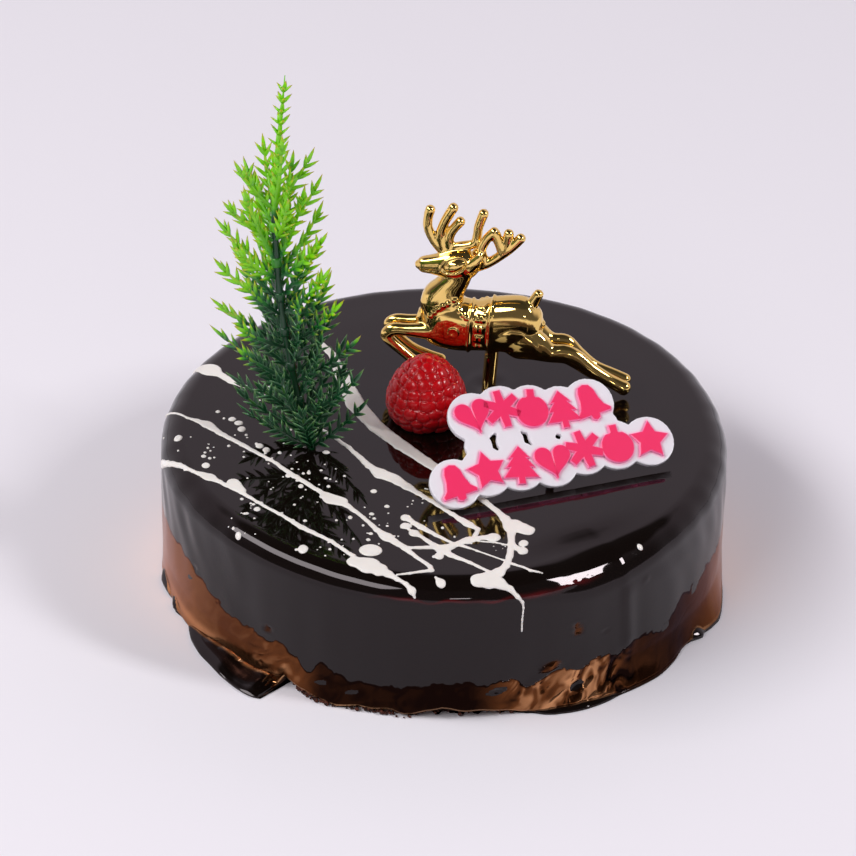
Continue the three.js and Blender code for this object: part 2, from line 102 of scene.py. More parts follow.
def set_inputs(node: Any, inputs: dict[Any, Any]) -> None:
    """Set or link a node's inputs.

    Args:
        node: the node to feed.
        inputs: socket name or number to a value, a hex colour, or a socket or node to link from;
            a node gives its first live output.
    """
    for name, value in inputs.items():
        if isinstance(value, str):
            value = linear(value)
        if isinstance(value, bpy.types.Node):
            value = next(socket for socket in value.outputs if socket.enabled)
        if isinstance(value, bpy.types.NodeSocket):
            node.id_data.links.new(value, node.inputs[name])
        else:
            node.inputs[name].default_value = value


def add_node(tree: Any, kind: str, inputs: dict[Any, Any] | None = None,
             stops: dict[float, Any] | None = None, **settings: Any) -> Any:
    """Add one shader node with its settings, values and links.

    Args:
        tree: the node tree to add it to.
        kind: the node's type name without its prefix.
        inputs: what feeds its sockets, as set_inputs takes it.
        stops: a ramp's places and their hex or linear colours, lowest first.
        **settings: attributes of the node.

    Returns:
        The new node.
    """
    node = tree.nodes.new(f"ShaderNode{kind}")
    for name, value in settings.items():
        setattr(node, name, value)
    if stops:
        elements = node.color_ramp.elements
        while len(elements) < len(stops):
            elements.new(0.5)
        for element, (place, colour) in zip(elements, stops.items()):
            element.position = place
            element.color = linear(colour) if isinstance(colour, str) else colour
    set_inputs(node, inputs or {})
    return node


def new_material(name: str) -> tuple[Any, Any, Any]:
    """Make a material that starts from the plain Principled shader.

    Args:
        name: the material's name.

    Returns:
        The material, its node tree and its shader node.
    """
    material = bpy.data.materials.new(name)
    material.use_nodes = True
    return material, material.node_tree, material.node_tree.nodes["Principled BSDF"]


def deselect_all() -> None:
    """Leave object mode's selection empty, the CAD nodes included."""
    for other in bpy.context.view_layer.objects:
        other.select_set(False)


def activate(obj: Any) -> None:
    """Make one object the only selected and active one."""
    deselect_all()
    obj.select_set(True)
    bpy.context.view_layer.objects.active = obj


def adopt(name: str) -> Any:
    """Name the object that an operator has just added.

    Args:
        name: the name for it and its mesh.

    Returns:
        The object.
    """
    obj = bpy.context.active_object
    obj.name = name
    obj.data.name = name
    return obj


def bake_place(obj: Any) -> None:
    """Put an object's place, turn and scale into its mesh."""
    activate(obj)
    bpy.ops.object.transform_apply(location=True, rotation=True, scale=True)


def apply_modifier(obj: Any, kind: str, **settings: Any) -> None:
    """Add a modifier with its settings, and apply it.

    Args:
        obj: the object to change.
        kind: the modifier's type.
        **settings: attributes of the modifier.
    """
    activate(obj)
    modifier = obj.modifiers.new(kind.lower(), kind)
    for name, value in settings.items():
        setattr(modifier, name, value)
    bpy.ops.object.modifier_apply(modifier=modifier.name)


def join_objects(objects: Sequence[Any], name: str) -> Any:
    """Join several mesh objects into one.

    Args:
        objects: the objects, which are used up.
        name: the joined object's name.

    Returns:
        The joined object.
    """
    activate(objects[0])
    for obj in objects[1:]:
        obj.select_set(True)
    bpy.ops.object.join()
    return adopt(name)


def mesh_object(name: str, points: Points, faces: Sequence[Sequence[int]]) -> Any:
    """Make an object from points in millimetres.

    Args:
        name: the object's name.
        points: one row of x, y, z a point.
        faces: the points of each face, counterclockwise from outside.

    Returns:
        The new object, in the scene.
    """
    mesh = bpy.data.meshes.new(name)
    mesh.from_pydata((np.asarray(points) * MM).tolist(), [], faces)
    obj = bpy.data.objects.new(name, mesh)
    bpy.context.collection.objects.link(obj)
    return obj


def read_points(obj: Any) -> Points:
    """Return a mesh's points in millimetres."""
    flat = np.empty(3 * len(obj.data.vertices))
    obj.data.vertices.foreach_get("co", flat)
    return flat.reshape(-1, 3) / MM


def write_points(obj: Any, points: Points) -> None:
    """Set a mesh's points from millimetres."""
    obj.data.vertices.foreach_set("co", (points * MM).ravel())
    obj.data.update()


def read_normals(obj: Any) -> Points:
    """Return the normal at each of a mesh's points."""
    flat = np.empty(3 * len(obj.data.vertices))
    obj.data.vertex_normals.foreach_get("vector", flat)
    return flat.reshape(-1, 3)


def write_attribute(obj: Any, name: str, values: Any) -> None:
    """Store one number a point, or the same at all, under a name that a material reads."""
    attribute = obj.data.attributes.get(name) or obj.data.attributes.new(name, "FLOAT", "POINT")
    attribute.data.foreach_set("value", np.full(len(obj.data.vertices), values, dtype=float))


def edit_all(obj: Any) -> None:
    """Open a mesh in edit mode with all its points selected."""
    activate(obj)
    bpy.ops.object.mode_set(mode="EDIT")
    bpy.ops.mesh.select_mode(type="VERT")
    bpy.ops.mesh.select_all(action="SELECT")


def end_edit() -> None:
    """Leave edit mode."""
    bpy.ops.object.mode_set(mode="OBJECT")


def cut_across(obj: Any, heights: Sequence[float]) -> None:
    """Cut a mesh's faces level at heights in millimetres, and keep both sides."""
    edit_all(obj)
    for height in heights:
        bpy.ops.mesh.select_all(action="SELECT")
        bpy.ops.mesh.bisect(plane_co=(0, 0, height * MM), plane_no=(0, 0, 1))
    end_edit()


def face_outwards(obj: Any) -> None:
    """Turn every face of a closed mesh outwards."""
    edit_all(obj)
    bpy.ops.mesh.normals_make_consistent(inside=False)
    end_edit()


def finish_piece(obj: Any, slot: str, materials: Sequence[Any], node: str = "",
                 angle: float = 180.0) -> None:
    """Shade a piece smooth, dress it, hang it on the part's body and report it.

    Args:
        obj: the finished piece.
        slot: the record's material slot that it stands for; it is only reported.
        materials: the piece's materials, in the order of its faces' numbers.
        node: the CAD node that it stands for.
        angle: edges sharper than this, in degrees, stay sharp.
    """
    bake_place(obj)
    bpy.ops.object.shade_smooth_by_angle(angle=radians(angle))
    for material in materials:
        obj.data.materials.append(material)
    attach(obj, BODY)
    if node:
        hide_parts(node)
    LOG.info("%s: %d faces, slot %s", obj.name, len(obj.data.polygons), slot)


def node_box(name: str) -> tuple[Points, Points]:
    """Return a CAD node's lowest and highest corners in millimetres."""
    low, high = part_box(name)
    return np.array(low) / MM, np.array(high) / MM


def smoothstep(low: float, high: float, value: Any) -> Any:
    """Rise smoothly from nothing at low to one at high."""
    share = np.clip((value - low) / (high - low), 0.0, 1.0)
    return share * share * (3 - 2 * share)


def bell(value: Any, width: Any, centre: float = 0.0) -> Any:
    """Fall off smoothly on both sides of a centre, to about a third at the width."""
    return np.exp(-(((value - centre) / width) ** 2))


def follow(guide: Guide, at: Any, column: int = 1, beyond: float | None = None) -> Any:
    """Read a column of a guide table between its places, with its own value beyond its ends."""
    rows = np.array(guide, dtype=float)
    return np.interp(at, rows[:, 0], rows[:, column], beyond, beyond)


def turn_between(azimuth: Any, other: float) -> Any:
    """Difference of two azimuths, from -180 to 180 degrees."""
    return (azimuth - other + 180.0) % 360.0 - 180.0


def waves(azimuth: Any, rows: Sequence[tuple[float, int, float]]) -> Any:
    """Sum some waves round the cake.

    Args:
        azimuth: degrees round the cake.
        rows: height, count round the cake and phase of each wave.

    Returns:
        The sum at each azimuth.
    """
    t = np.radians(azimuth)
    return sum(height * np.sin(count * t + phase) for height, count, phase in rows)


# ---- materials


@dataclass(frozen=True)
class PouredMirrorGlaze:
    """Dark chocolate mirror glaze of cocoa, sugar and gelatine, poured warm over a frozen cake.

    It sets as a wet, level, near-black gel film with sharp reflections and a dark red line under
    the rim. At the foot is a painted reflection of a copper cake board, which is not built: swirled
    dark, brown and copper metal.
    """

    dark: str = "0d0705"
    # the dark red of the line under the rim
    thin: str = "4f0f12"
    # the dark, brown and copper of the painted reflection of a copper cake board
    board_reflection_dark: str = "170b08"
    board_reflection_brown: str = "6a3e22"
    board_reflection_copper: str = "cf9466"
    # the colour of the painted highlight along the glaze's lip
    lip: str = "e2ae7c"
    reflection: str = "ddd2d6"
    swirl_mm: float = 5.5
    edge_mm: float = 4.5

    def build(self) -> Any:
        """Build the material.

        Returns:
            The material.
        """
        material, tree, shader = new_material("chocolate_mirror_glaze_poured")
        place = add_node(tree, "TexCoord").outputs["Object"]
        laid = {
            name: add_node(tree, "Attribute", attribute_name=name).outputs["Fac"]
            for name in ("board_reflection_rise", "board_reflection_floor", "board_reflection_spot", "board_reflection_bright", "board_reflection_swirl",
                         "lip_highlight_rise", "lip_highlight_share", "rim_red_line", "flow_x", "flow_y")
        }
        unrolled = add_node(tree, "CombineXYZ", {"X": laid["flow_x"], "Y": laid["flow_y"]})
        swirl = add_node(tree, "TexNoise", {
            "Vector": unrolled, "Scale": 1 / self.swirl_mm, "Detail": 1.0, "Roughness": 0.45,
            "Distortion": 1.5})
        ragged = add_node(tree, "TexNoise", {
            "Vector": place, "Scale": 1000 / self.edge_mm, "Detail": 1.5, "Distortion": 0.6})
        # the painted copper board reflection lies under its ragged edge, over the pooled rolls and
        # in burst bubbles
        rise = add_node(
            tree, "Math", {0: ragged, 1: 5.0, 2: laid["board_reflection_rise"]}, operation="MULTIPLY_ADD")
        under_edge = add_node(tree, "MapRange", {"Value": rise, "From Min": 2.62, "From Max": 2.38})
        over_rolls = add_node(
            tree, "MapRange", {"Value": laid["board_reflection_floor"], "From Min": -0.15, "From Max": 0.15})
        band = add_node(tree, "Math", {0: under_edge, 1: over_rolls}, operation="MULTIPLY")
        board_reflection = add_node(tree, "Math", {0: band, 1: laid["board_reflection_spot"]}, operation="MAXIMUM")
        # the painted copper board reflection runs from dark through brown to copper, darker along
        # its upper edge
        streak = add_node(tree, "MapRange", {
            "Value": swirl, "From Min": 0.34, "From Max": 0.62, "To Min": -0.5, "To Max": 0.3})
        shade = add_node(
            tree, "Math", {0: streak, 1: laid["board_reflection_swirl"], 2: laid["board_reflection_bright"]},
            operation="MULTIPLY_ADD")
        dimmed = add_node(
            tree, "MapRange", {"Value": rise, "From Min": 1.7, "From Max": 2.3, "To Max": 0.35})
        shade = add_node(tree, "Math", {0: shade, 1: dimmed}, operation="SUBTRACT")
        foot = add_node(tree, "ValToRGB", {"Fac": shade}, {
            0.0: self.board_reflection_dark, 0.5: self.board_reflection_brown, 1.0: self.board_reflection_copper})
        # a dark red line under the rim
        body = add_node(
            tree, "Mix", {0: laid["rim_red_line"], 6: self.dark, 7: self.thin}, data_type="RGBA")
        with_board_reflection = add_node(tree, "Mix", {0: board_reflection, 6: body, 7: foot}, data_type="RGBA")
        # a painted highlight along the lip of the glaze
        away = add_node(tree, "Math", {0: laid["lip_highlight_rise"]}, operation="ABSOLUTE")
        line = add_node(tree, "MapRange", {"Value": away, "From Min": 0.45, "From Max": 0.1})
        gleam = add_node(tree, "Math", {0: line, 1: laid["lip_highlight_share"]}, operation="MULTIPLY")
        edged = add_node(tree, "Mix", {0: gleam, 6: with_board_reflection, 7: self.lip}, data_type="RGBA")
        swirled_board_reflection = add_node(tree, "Math", {0: laid["board_reflection_swirl"], 1: board_reflection}, operation="MULTIPLY")
        relief = add_node(tree, "Math", {0: swirl, 1: swirled_board_reflection}, operation="MULTIPLY")
        bump = add_node(tree, "Bump", {"Height": relief, "Distance": 1.0 * MM, "Strength": 1.0})
        # where the copper board's reflection is painted, the glaze is metal of that colour, a
        # little rougher
        gloss = add_node(tree, "MapRange", {"Value": board_reflection, "To Min": 0.035, "To Max": 0.17})
        set_inputs(shader, {
            "Base Color": edged, "Metallic": board_reflection, "Roughness": gloss, "Normal": bump, "IOR": 1.47,
            "Specular Tint": self.reflection})
        return material


@dataclass(frozen=True)
class ChocolateSponge:
    """Baked chocolate sponge, torn where the glaze stops short: dark, dry and pitted by crumbs."""

    name: str = "chocolate_sponge_baked"
    light: str = "3a1d12"
    dark: str = "120705"
    crumb_mm: float = 1.1

    def build(self) -> Any:
        """Build the material.

        Returns:
            The material.
        """
        material, tree, shader = new_material(self.name)
        place = add_node(tree, "TexCoord").outputs["Object"]
        crumb = add_node(
            tree, "TexNoise", {"Vector": place, "Scale": 1000 / self.crumb_mm, "Detail": 3.0})
        colour = add_node(tree, "ValToRGB", {"Fac": crumb}, {0.35: self.dark, 0.7: self.light})
        bump = add_node(tree, "Bump", {"Height": crumb, "Distance": 0.5 * MM, "Strength": 0.8})
        set_inputs(shader, {
            "Base Color": colour, "Normal": bump, "Roughness": 0.85, "IOR": 1.45})
        return material


@dataclass(frozen=True)
class WhiteGlazeDrizzle:
    """White chocolate glaze, flicked on warm: opaque ivory, level and softly shining."""

    ivory: str = "f2ede9"
    cream: str = "e0d9d3"
    cloud_mm: float = 9.0

    def build(self) -> Any:
        """Build the material.

        Returns:
            The material.
        """
        material, tree, shader = new_material("white_chocolate_glaze_flicked")
        place = add_node(tree, "TexCoord").outputs["Object"]
        cloud = add_node(
            tree, "TexNoise", {"Vector": place, "Scale": 1000 / self.cloud_mm, "Detail": 2.0})
        colour = add_node(
            tree, "Mix", {0: cloud, 6: self.ivory, 7: self.cream}, data_type="RGBA")
        set_inputs(shader, {
            "Base Color": colour, "Roughness": 0.28, "IOR": 1.46, "Subsurface Weight": 0.15,
            "Subsurface Radius": (0.0012, 0.001, 0.0008), "Subsurface Scale": 0.5})
        return material


@dataclass(frozen=True)
class MouldedFirPolyethylene:
    """Soft polyethylene, injection moulded in dark green and sprayed lime from above.

    The spray leaves upper and outer needles lime with ochre points, and lower ones deep green, all
    under a waxy half gloss. A pale edge on the lower needles is a painted highlight, and a darker
    green towards each needle's base is painted shade.
    """

    deep: str = "063a1c"
    leaf: str = "196b26"
    lime: str = "62b80a"
    bright: str = "88d411"
    point: str = "bd9422"
    # the colour of the painted highlight along the needles' edges
    rim: str = "7fbc88"
    speck_mm: float = 5.0

    def build(self) -> Any:
        """Build the material.

        Returns:
            The material.
        """
        material, tree, shader = new_material("polyethylene_fir_sprayed")
        place = add_node(tree, "TexCoord").outputs["Object"]
        spray, point, edge = (
            add_node(tree, "Attribute", attribute_name=name).outputs["Fac"]
            for name in ("spray", "needle_point", "needle_edge_highlight"))
        speck = add_node(
            tree, "TexNoise", {"Vector": place, "Scale": 1000 / self.speck_mm, "Detail": 2.0})
        # painted shade: each needle is darker towards its base at the rib
        outer = add_node(
            tree, "MapRange", {"Value": point, "From Max": 0.7, "To Min": -0.5, "To Max": 0.0})
        speck_and_base_shade = add_node(tree, "Math", {0: speck, 1: 0.3, 2: outer}, operation="MULTIPLY_ADD")
        cover = add_node(tree, "Math", {0: speck_and_base_shade, 1: spray}, operation="ADD", use_clamp=True)
        colour = add_node(tree, "ValToRGB", {"Fac": cover}, {
            0.0: self.deep, 0.3: self.leaf, 0.62: self.lime, 1.0: self.bright})
        tip = add_node(tree, "MapRange", {"Value": point, "From Min": 0.55})
        dusted = add_node(tree, "Math", {0: tip, 1: cover}, operation="MULTIPLY", use_clamp=True)
        pointed = add_node(tree, "Mix", {0: dusted, 6: colour, 7: self.point}, data_type="RGBA")
        # painted highlight: a pale edge along the needles, where the lime spray is thin
        edge_highlight = add_node(tree, "MapRange", {"Value": edge, "From Min": 0.5, "To Max": 0.6})
        bare = add_node(tree, "MapRange", {
            "Value": cover, "From Min": 0.1, "From Max": 0.5, "To Min": 1.0, "To Max": 0.0})
        edge_highlight = add_node(tree, "Math", {0: edge_highlight, 1: bare}, operation="MULTIPLY")
        edged = add_node(
            tree, "Mix", {0: edge_highlight, 6: pointed, 7: self.rim}, data_type="RGBA",
            blend_type="LIGHTEN")
        set_inputs(shader, {
            "Base Color": edged, "Roughness": 0.24, "IOR": 1.51, "Subsurface Weight": 0.12,
            "Subsurface Radius": (0.0006, 0.0012, 0.0003), "Subsurface Scale": 0.6})
        return material


@dataclass(frozen=True)
class MetallisedGold:
    """Gold-lacquered aluminium, vacuum deposited on moulded polystyrene.

    It is a hard bright mirror of warm gold over slightly sunken, rounded moulded forms.
    """

    gold: str = "f3ce7a"
    sink_mm: float = 6.0
    sink_depth_mm: float = 0.05

    def build(self) -> Any:
        """Build the material.

        Returns:
            The material.
        """
        material, tree, shader = new_material("polystyrene_gold_metallised")
        place = add_node(tree, "TexCoord").outputs["Object"]
        sink = add_node(
            tree, "TexNoise", {"Vector": place, "Scale": 1000 / self.sink_mm, "Detail": 1.0})
        bump = add_node(
            tree, "Bump", {"Height": sink, "Distance": self.sink_depth_mm * MM, "Strength": 1.0})
        set_inputs(shader, {
            "Base Color": self.gold, "Metallic": 1.0, "Roughness": 0.07, "Normal": bump})
        return material


@dataclass(frozen=True)
class RaspberrySkin:
    """Fresh raspberry skin: translucent crimson drupelets under a moist bloom of fine down."""

    crimson: str = "ae050f"
    scarlet: str = "d20c16"
    # the dark red of the painted shade
    shade_red: str = "5a040e"
    down: str = "f2b8bc"
    mottle_mm: float = 2.2

    def build(self) -> Any:
        """Build the material.

        Returns:
            The material.
        """
        material, tree, shader = new_material("raspberry_skin_fresh")
        place = add_node(tree, "TexCoord").outputs["Object"]
        crease_and_underside_shade = add_node(tree, "Attribute", attribute_name="crease_and_underside_shade").outputs["Fac"]
        mottle = add_node(
            tree, "TexNoise", {"Vector": place, "Scale": 1000 / self.mottle_mm, "Detail": 2.0})
        flesh = add_node(
            tree, "Mix", {0: mottle, 6: self.crimson, 7: self.scarlet}, data_type="RGBA")
        # painted shade: darker red in the grooves and low on the berry
        colour = add_node(tree, "Mix", {0: crease_and_underside_shade, 6: flesh, 7: self.shade_red}, data_type="RGBA")
        bump = add_node(tree, "Bump", {"Height": mottle, "Distance": 0.12 * MM, "Strength": 0.6})
        set_inputs(shader, {
            "Base Color": colour, "Normal": bump, "Roughness": 0.2, "IOR": 1.42,
            "Subsurface Weight": 0.25, "Subsurface Radius": (0.0022, 0.0004, 0.0003),
            "Subsurface Scale": 0.6, "Sheen Weight": 0.07, "Sheen Roughness": 0.4,
            "Sheen Tint": self.down})
        return material


@dataclass(frozen=True)
class MouldedPlaquePlastic:
    """Polystyrene, injection moulded, plain white or pad printed: smooth with a satin gloss."""

    name: str
    colour: str
    edge: str
    roughness: float

    def build(self) -> Any:
        """Build the material.

        Returns:
            The material.
        """
        material, tree, shader = new_material(self.name)
        edge = add_node(tree, "Attribute", attribute_name="pink_edge_tint").outputs["Fac"]
        colour = add_node(
            tree, "Mix", {0: edge, 6: self.colour, 7: self.edge}, data_type="RGBA")
        set_inputs(shader, {
            "Base Color": colour, "Roughness": self.roughness, "IOR": 1.52,
            "Subsurface Weight": 0.1, "Subsurface Radius": (0.001, 0.001, 0.001),
            "Subsurface Scale": 0.5})
        return material


# ---- the cake


@dataclass(frozen=True)
class Hump:
    """A smooth swelling round the cake, with its own width on either side, in degrees."""

    azimuth: float
    before: float
    after: float
    size: float
    height: float = 6.0

    def at(self, azimuth: Any) -> Any:
        """Return its share at each azimuth, one at its own."""
        turn = turn_between(azimuth, self.azimuth)
        return bell(turn, np.where(turn < 0, self.before, self.after))


@dataclass(frozen=True)
class Mark:
    """A small mark on the glazed wall: a burst bubble, a dimple or a bead."""

    azimuth: float
    height: float
    across: float
    depth: float
    tall: float = 1.0


@dataclass
class GlazedCake:
    """The cake: a sheet of glaze wrapped over a round form, with its bare foot and underside.

    Azimuths are degrees from the front to the right, and lead each guide row. After them come
    flare's reach, flap's reach and top, the heights of undercut and board_reflection_edge, and a
    patch's height, half width, half height and what it shows: 1 for the painted copper board
    reflection, 0 for black glaze.
    """

    radius: float = 82.6
    rim_round: float = 7.0
    foot_lip: float = 0.5
    bare_depth: float = 3.4
    columns: int = 480
    fold: Hump = Hump(38.6, 0.9, 2.2, 0.8)
    fold_span: Pair = (13.0, 36.0)
    sag: Hump = Hump(31, 11, 16, 3.6)
    sag_drop: float = 1.0
    lobes: tuple[Hump, ...] = (
        Hump(122, 9, 7, 3, 6), Hump(168, 7, 7, 1.8, 5), Hump(-125, 8, 6, 2.7, 7),
    )
    flare: Guide = (
        (-95, 0), (-86, 0.3), (-76, 0.8), (-46, 1), (-36, 0.8), (-30, 0.2), (-24, 0.8), (-21, 1.2),
        (-18, 0.3), (0, 0), (13, 0.2), (17, 1), (21, 2), (36, 3.2), (46, 3.6), (52, 2.8), (56, 1.6),
        (60, 1.4), (64, 2.4), (68, 3.2), (78, 1.8), (84, 1), (92, 0),
    )
    flap: Guide = (
        (-86, 0, 1.5), (-80, 0.5, 2), (-77, 1.3, 3.4), (-73.5, 0.9, 2.4), (-71, 0, 1.6),
        (-69.5, 0.5, 2.2), (-67.5, 1.4, 3), (-65.5, 0.3, 1.5), (-61, 0, 1), (-59, 1.6, 1.6),
        (-57, 3, 1.9), (-52, 5.8, 2.2), (-45, 8, 2.6), (-41, 8.6, 2), (-38, 8.8, 2.2),
        (-35.6, 8.6, 2.9), (-34.5, 7.8, 3), (-33.9, 0.4, 2.5), (-33.4, 0, 2), (13, 0, 1),
        (18, 0.8, 1), (22, 1.8, 1.3), (28, 2.2, 1.4), (33, 1.6, 1.1), (36, 0.8, 0.7),
        (50, 0.7, 0.7), (58.6, 0.2, 1.2), (60, 1.3, 2.4), (61.4, 2, 3), (62.8, 0.7, 1.8),
        (65, 0.8, 1), (78, 0.8, 1.1), (84, 0.4, 1), (90, 0, 1),
    )
    undercut: Guide = (
        (-34.6, 0), (-34, 1.8), (-33, 3.9), (-31.6, 3), (-29.5, 1.3), (-24, 0.3), (-21.5, 0),
        (-19, 0.4), (-16.3, 1.1), (-10, 1.1), (-7.6, 0.2), (-5.5, 0.9), (-3, 2.3), (0, 3.3),
        (5, 2.8), (14, 1.2), (17, 0.5), (20, 0),
    )
    # the painted reflection of a copper cake board: how high it reaches up the wall and how bright
    # it is
    board_reflection_edge: Guide = (
        (-180, 21), (-120, 18), (-90, 23), (-66, 24), (-52, 17.5), (-40, 14.5), (-34, 15.4),
        (-30, 12.2), (-28, 9.2), (-26.6, 9.2), (-25, 13), (-23.3, 13.4), (-21.7, 10.4), (-16, 11.1),
        (-11, 9.9), (-6, 10.9), (-2, 12.6), (5, 13.6), (7, 12), (13, 12.4), (15, 11.4), (16.6, 9.6),
        (20, 11), (22, 12.9), (31, 12), (35, 12.8), (37, 11), (38.6, 14.4), (43, 14.6), (48, 12.6),
        (52, 15), (55, 19), (69, 20), (95, 23), (130, 18), (180, 21),
    )
    board_reflection_bright: Guide = (
        (-180, 0.4), (-110, 0.7), (-80, 0.97), (-68, 0.75), (-50, 0.52), (-38, 0.52), (-29, 0.42),
        (-25, 0.04), (6, 0), (13, 0.3), (17, 0.5), (22, 0.7), (30, 0.68), (34, 0.42), (37, 0.15),
        (55, 0.05), (62, 0.3), (70, 0.65), (78, 0.95), (100, 0.8), (180, 0.4),
    )
    patches: Guide = (
        (21.3, 14.9, 2.7, 1.4, 1), (10.6, 9.2, 2.2, 1, 0), (27.2, 6.3, 1.7, 1.2, 0),
        (50, 12.6, 1.2, 0.8, 0), (60.5, 18, 1.4, 1.6, 0), (-62, 17, 0.7, 0.8, 0),
        (-18, 6, 1.3, 0.6, 0), (-24.5, 6.6, 1.4, 0.7, 0),
    )
    bare: Hump = Hump(146, 7, 7, 3)
    marks: tuple[Mark, ...] = (
        Mark(27, 26.6, 1, -0.75), Mark(27.2, 24.8, 1.2, -0.8), Mark(-37.3, 18, 1.1, -0.5),
        Mark(33.5, 21.6, 0.7, -0.4), Mark(21.2, 14.8, 2.4, 0.5, 0.6),
        Mark(27.2, 6.3, 1.5, -0.5, 0.8), Mark(10.6, 9.2, 1.5, -0.4, 0.6),
        Mark(43.5, 33.5, 0.8, 0.3), Mark(-60, 22, 1, -0.3), Mark(140, 24, 1.2, -0.4),
        Mark(-110, 20, 1.4, -0.4), Mark(-165, 28, 1, -0.3),
    )
    pick_wells: list[tuple[float, float, float]] = field(default_factory=list)
    height: float = CAKE_TOP

    @property
    def flat_edge(self) -> float:
        """Where the flat top ends, measured over the surface from the centre."""
        return self.radius - self.rim_round

    @property
    def rim_length(self) -> float:
        """The rim's length over the surface."""
        return self.rim_round * pi / 2

    @property
    def wall_length(self) -> float:
        """The wall's length over the surface, down to the glaze's lower edge."""
        return self.height - self.rim_round - self.foot_lip

    def lift(self, azimuth: Any) -> Any:
        """How far the glaze's lower edge stands above the underside."""
        lift = follow(self.undercut, azimuth, beyond=0)
        jag = waves(azimuth, [(0.2, 37, 1.9), (0.15, 61, 0.2)]) * smoothstep(0.2, 0.9, lift)
        return lift + jag + self.bare.size * self.bare.at(azimuth)

    def flap_at(self, azimuth: Any, z: Any) -> tuple[Any, Any]:
        """How far the thick black roll of pooled glaze stands out at the foot, and how high."""
        slant = azimuth + 2.4 * np.clip(z / 2.6, 0, 1) * smoothstep(-28, -32, azimuth)
        return follow(self.flap, slant, beyond=0), follow(self.flap, slant, 2)

    def flap_top(self, azimuth: Any, z: Any) -> Any:
        """How high the black rolls at the foot reach, under the painted copper board reflection."""
        reach, top = self.flap_at(azimuth, z)
        return top * smoothstep(0.3, 1.0, reach) + 3.0 * bell(azimuth, 8, -125)

    def stand_off(self, azimuth: Any, z: Any) -> Any:
        """How far the glaze stands out from the plain wall.

        Args:
            azimuth: degrees round the cake.
            z: height above the underside.

        Returns:
            The distance at each place.
        """
        gentle = waves(azimuth, [(0.35, 3, 0.4), (0.25, 5, 2.1)])
        ripples = np.exp(-z / 8) * waves(azimuth, [(0.45, 11, 1.0), (0.3, 17, 0.3)])
        runs = 0.07 * bell(z, 14, 24) * waves(azimuth, [(1.0, 29, 0.9), (0.7, 47, 2.2)])
        shoulder = waves(azimuth + 0.35 * (z - 33), [(0.7, 31, 1.1), (0.5, 53, 0.4)])
        shoulder *= 0.2 * bell(z, 7, 33) * smoothstep(38, 60, np.abs(azimuth))
        swirl = 0.3 * bell(z, 5, 7) * waves(azimuth - 0.8 * z, [(0.8, 47, 0.0), (0.6, 71, 1.3)])
        swirl *= bell(azimuth, 12, 25)
        lobes = sum(lobe.size * lobe.at(azimuth) * bell(z, lobe.height) for lobe in self.lobes)
        reach, top = self.flap_at(azimuth, z)
        level = z / top
        lobes = lobes + reach * (1 - np.clip(level, 0, 1) ** 2.2)
        lobes = lobes - 0.3 * bell(level, 0.12, 1) * smoothstep(0.5, 2.5, reach)
        lobes = lobes + follow(self.flare, azimuth) * np.clip(1 - z / 9, 0, 1) ** 1.4
        low, high = self.fold_span
        lean = azimuth + 0.045 * (z - 24)
        shown = smoothstep(high + 1, high - 5, z)
        ridge = shown * self.fold.size * self.fold.at(lean) * smoothstep(low - 4, low + 4, z)
        step = 0.35 * shown * smoothstep(-3, 3, lean - self.fold.azimuth - 2.4)
        step *= bell(azimuth, 12, 48) * smoothstep(4, 12, z)
        faint = 0.1 * bell(azimuth - 0.05 * (z - 20), 0.5, 9.5)
        faint *= smoothstep(12, 16, z) * smoothstep(30, 24, z)
        return gentle + ripples + runs + shoulder + swirl + lobes + ridge + step + faint

    def marks_at(self, azimuth: Any, z: Any) -> Any:
        """How far the small marks move the wall.

        Args:
            azimuth: degrees round the cake.
            z: height above the underside.

        Returns:
            The distance at each place, outwards.
        """
        moved = np.zeros_like(azimuth * z * 1.0)
        for mark in self.marks:
            side = np.radians(turn_between(azimuth, mark.azimuth)) * self.radius
            up = (z - mark.height) / mark.tall
            near = (side**2 + up**2) / mark.across**2
            if mark.depth < 0:
                moved += mark.depth * (bell(near, 1) - 0.25 * bell(np.sqrt(near), 0.28, 1.45))
            else:
                moved += mark.depth * np.exp(-(near**1.5))
        return moved

    def surface(self, azimuth: Points, along: Points) -> Points:
        """Points of the glaze.

        Args:
            azimuth: degrees round the cake.
            along: distance over the surface from the centre of the top.

        Returns:
            One row of x, y, z a point.
        """
        # the top, which dips towards the rim where the glaze sags
        sag = self.sag.at(azimuth)
        rounding = self.rim_round + self.sag.size * sag
        crown = self.height - self.sag_drop * sag
        wall_top = crown - rounding
        rim_radius = self.radius + self.stand_off(azimuth, wall_top)
        radius = along * (rim_radius - rounding) / self.flat_edge
        dip = smoothstep(0.8 * self.radius, self.flat_edge, along) * (self.height - crown)
        z = self.height - dip - 0.12 * smoothstep(60, 75, along)
        # the rolled rim, and then the wall down to the lip
        angle = np.clip((along - self.flat_edge) / self.rim_length, 0, 1) * pi / 2
        on_rim = along > self.flat_edge
        z = np.where(on_rim, wall_top + (rounding - 0.12) * np.cos(angle), z)
        radius = np.where(on_rim, rim_radius - rounding * (1 - np.sin(angle)), radius)
        down = (along - self.flat_edge - self.rim_length) / self.wall_length
        lip = self.foot_lip + self.lift(azimuth)
        wall_z = wall_top + (lip - wall_top) * np.clip(down, 0, 1)
        on_wall = down > 0
        wall_radius = self.radius + self.stand_off(azimuth, wall_z) + self.marks_at(azimuth, wall_z)
        tuck = 0.4 * smoothstep(0.975, 1.0, down) ** 2
        z = np.where(on_wall, wall_z, z)
        radius = np.where(on_wall, wall_radius - tuck, radius)
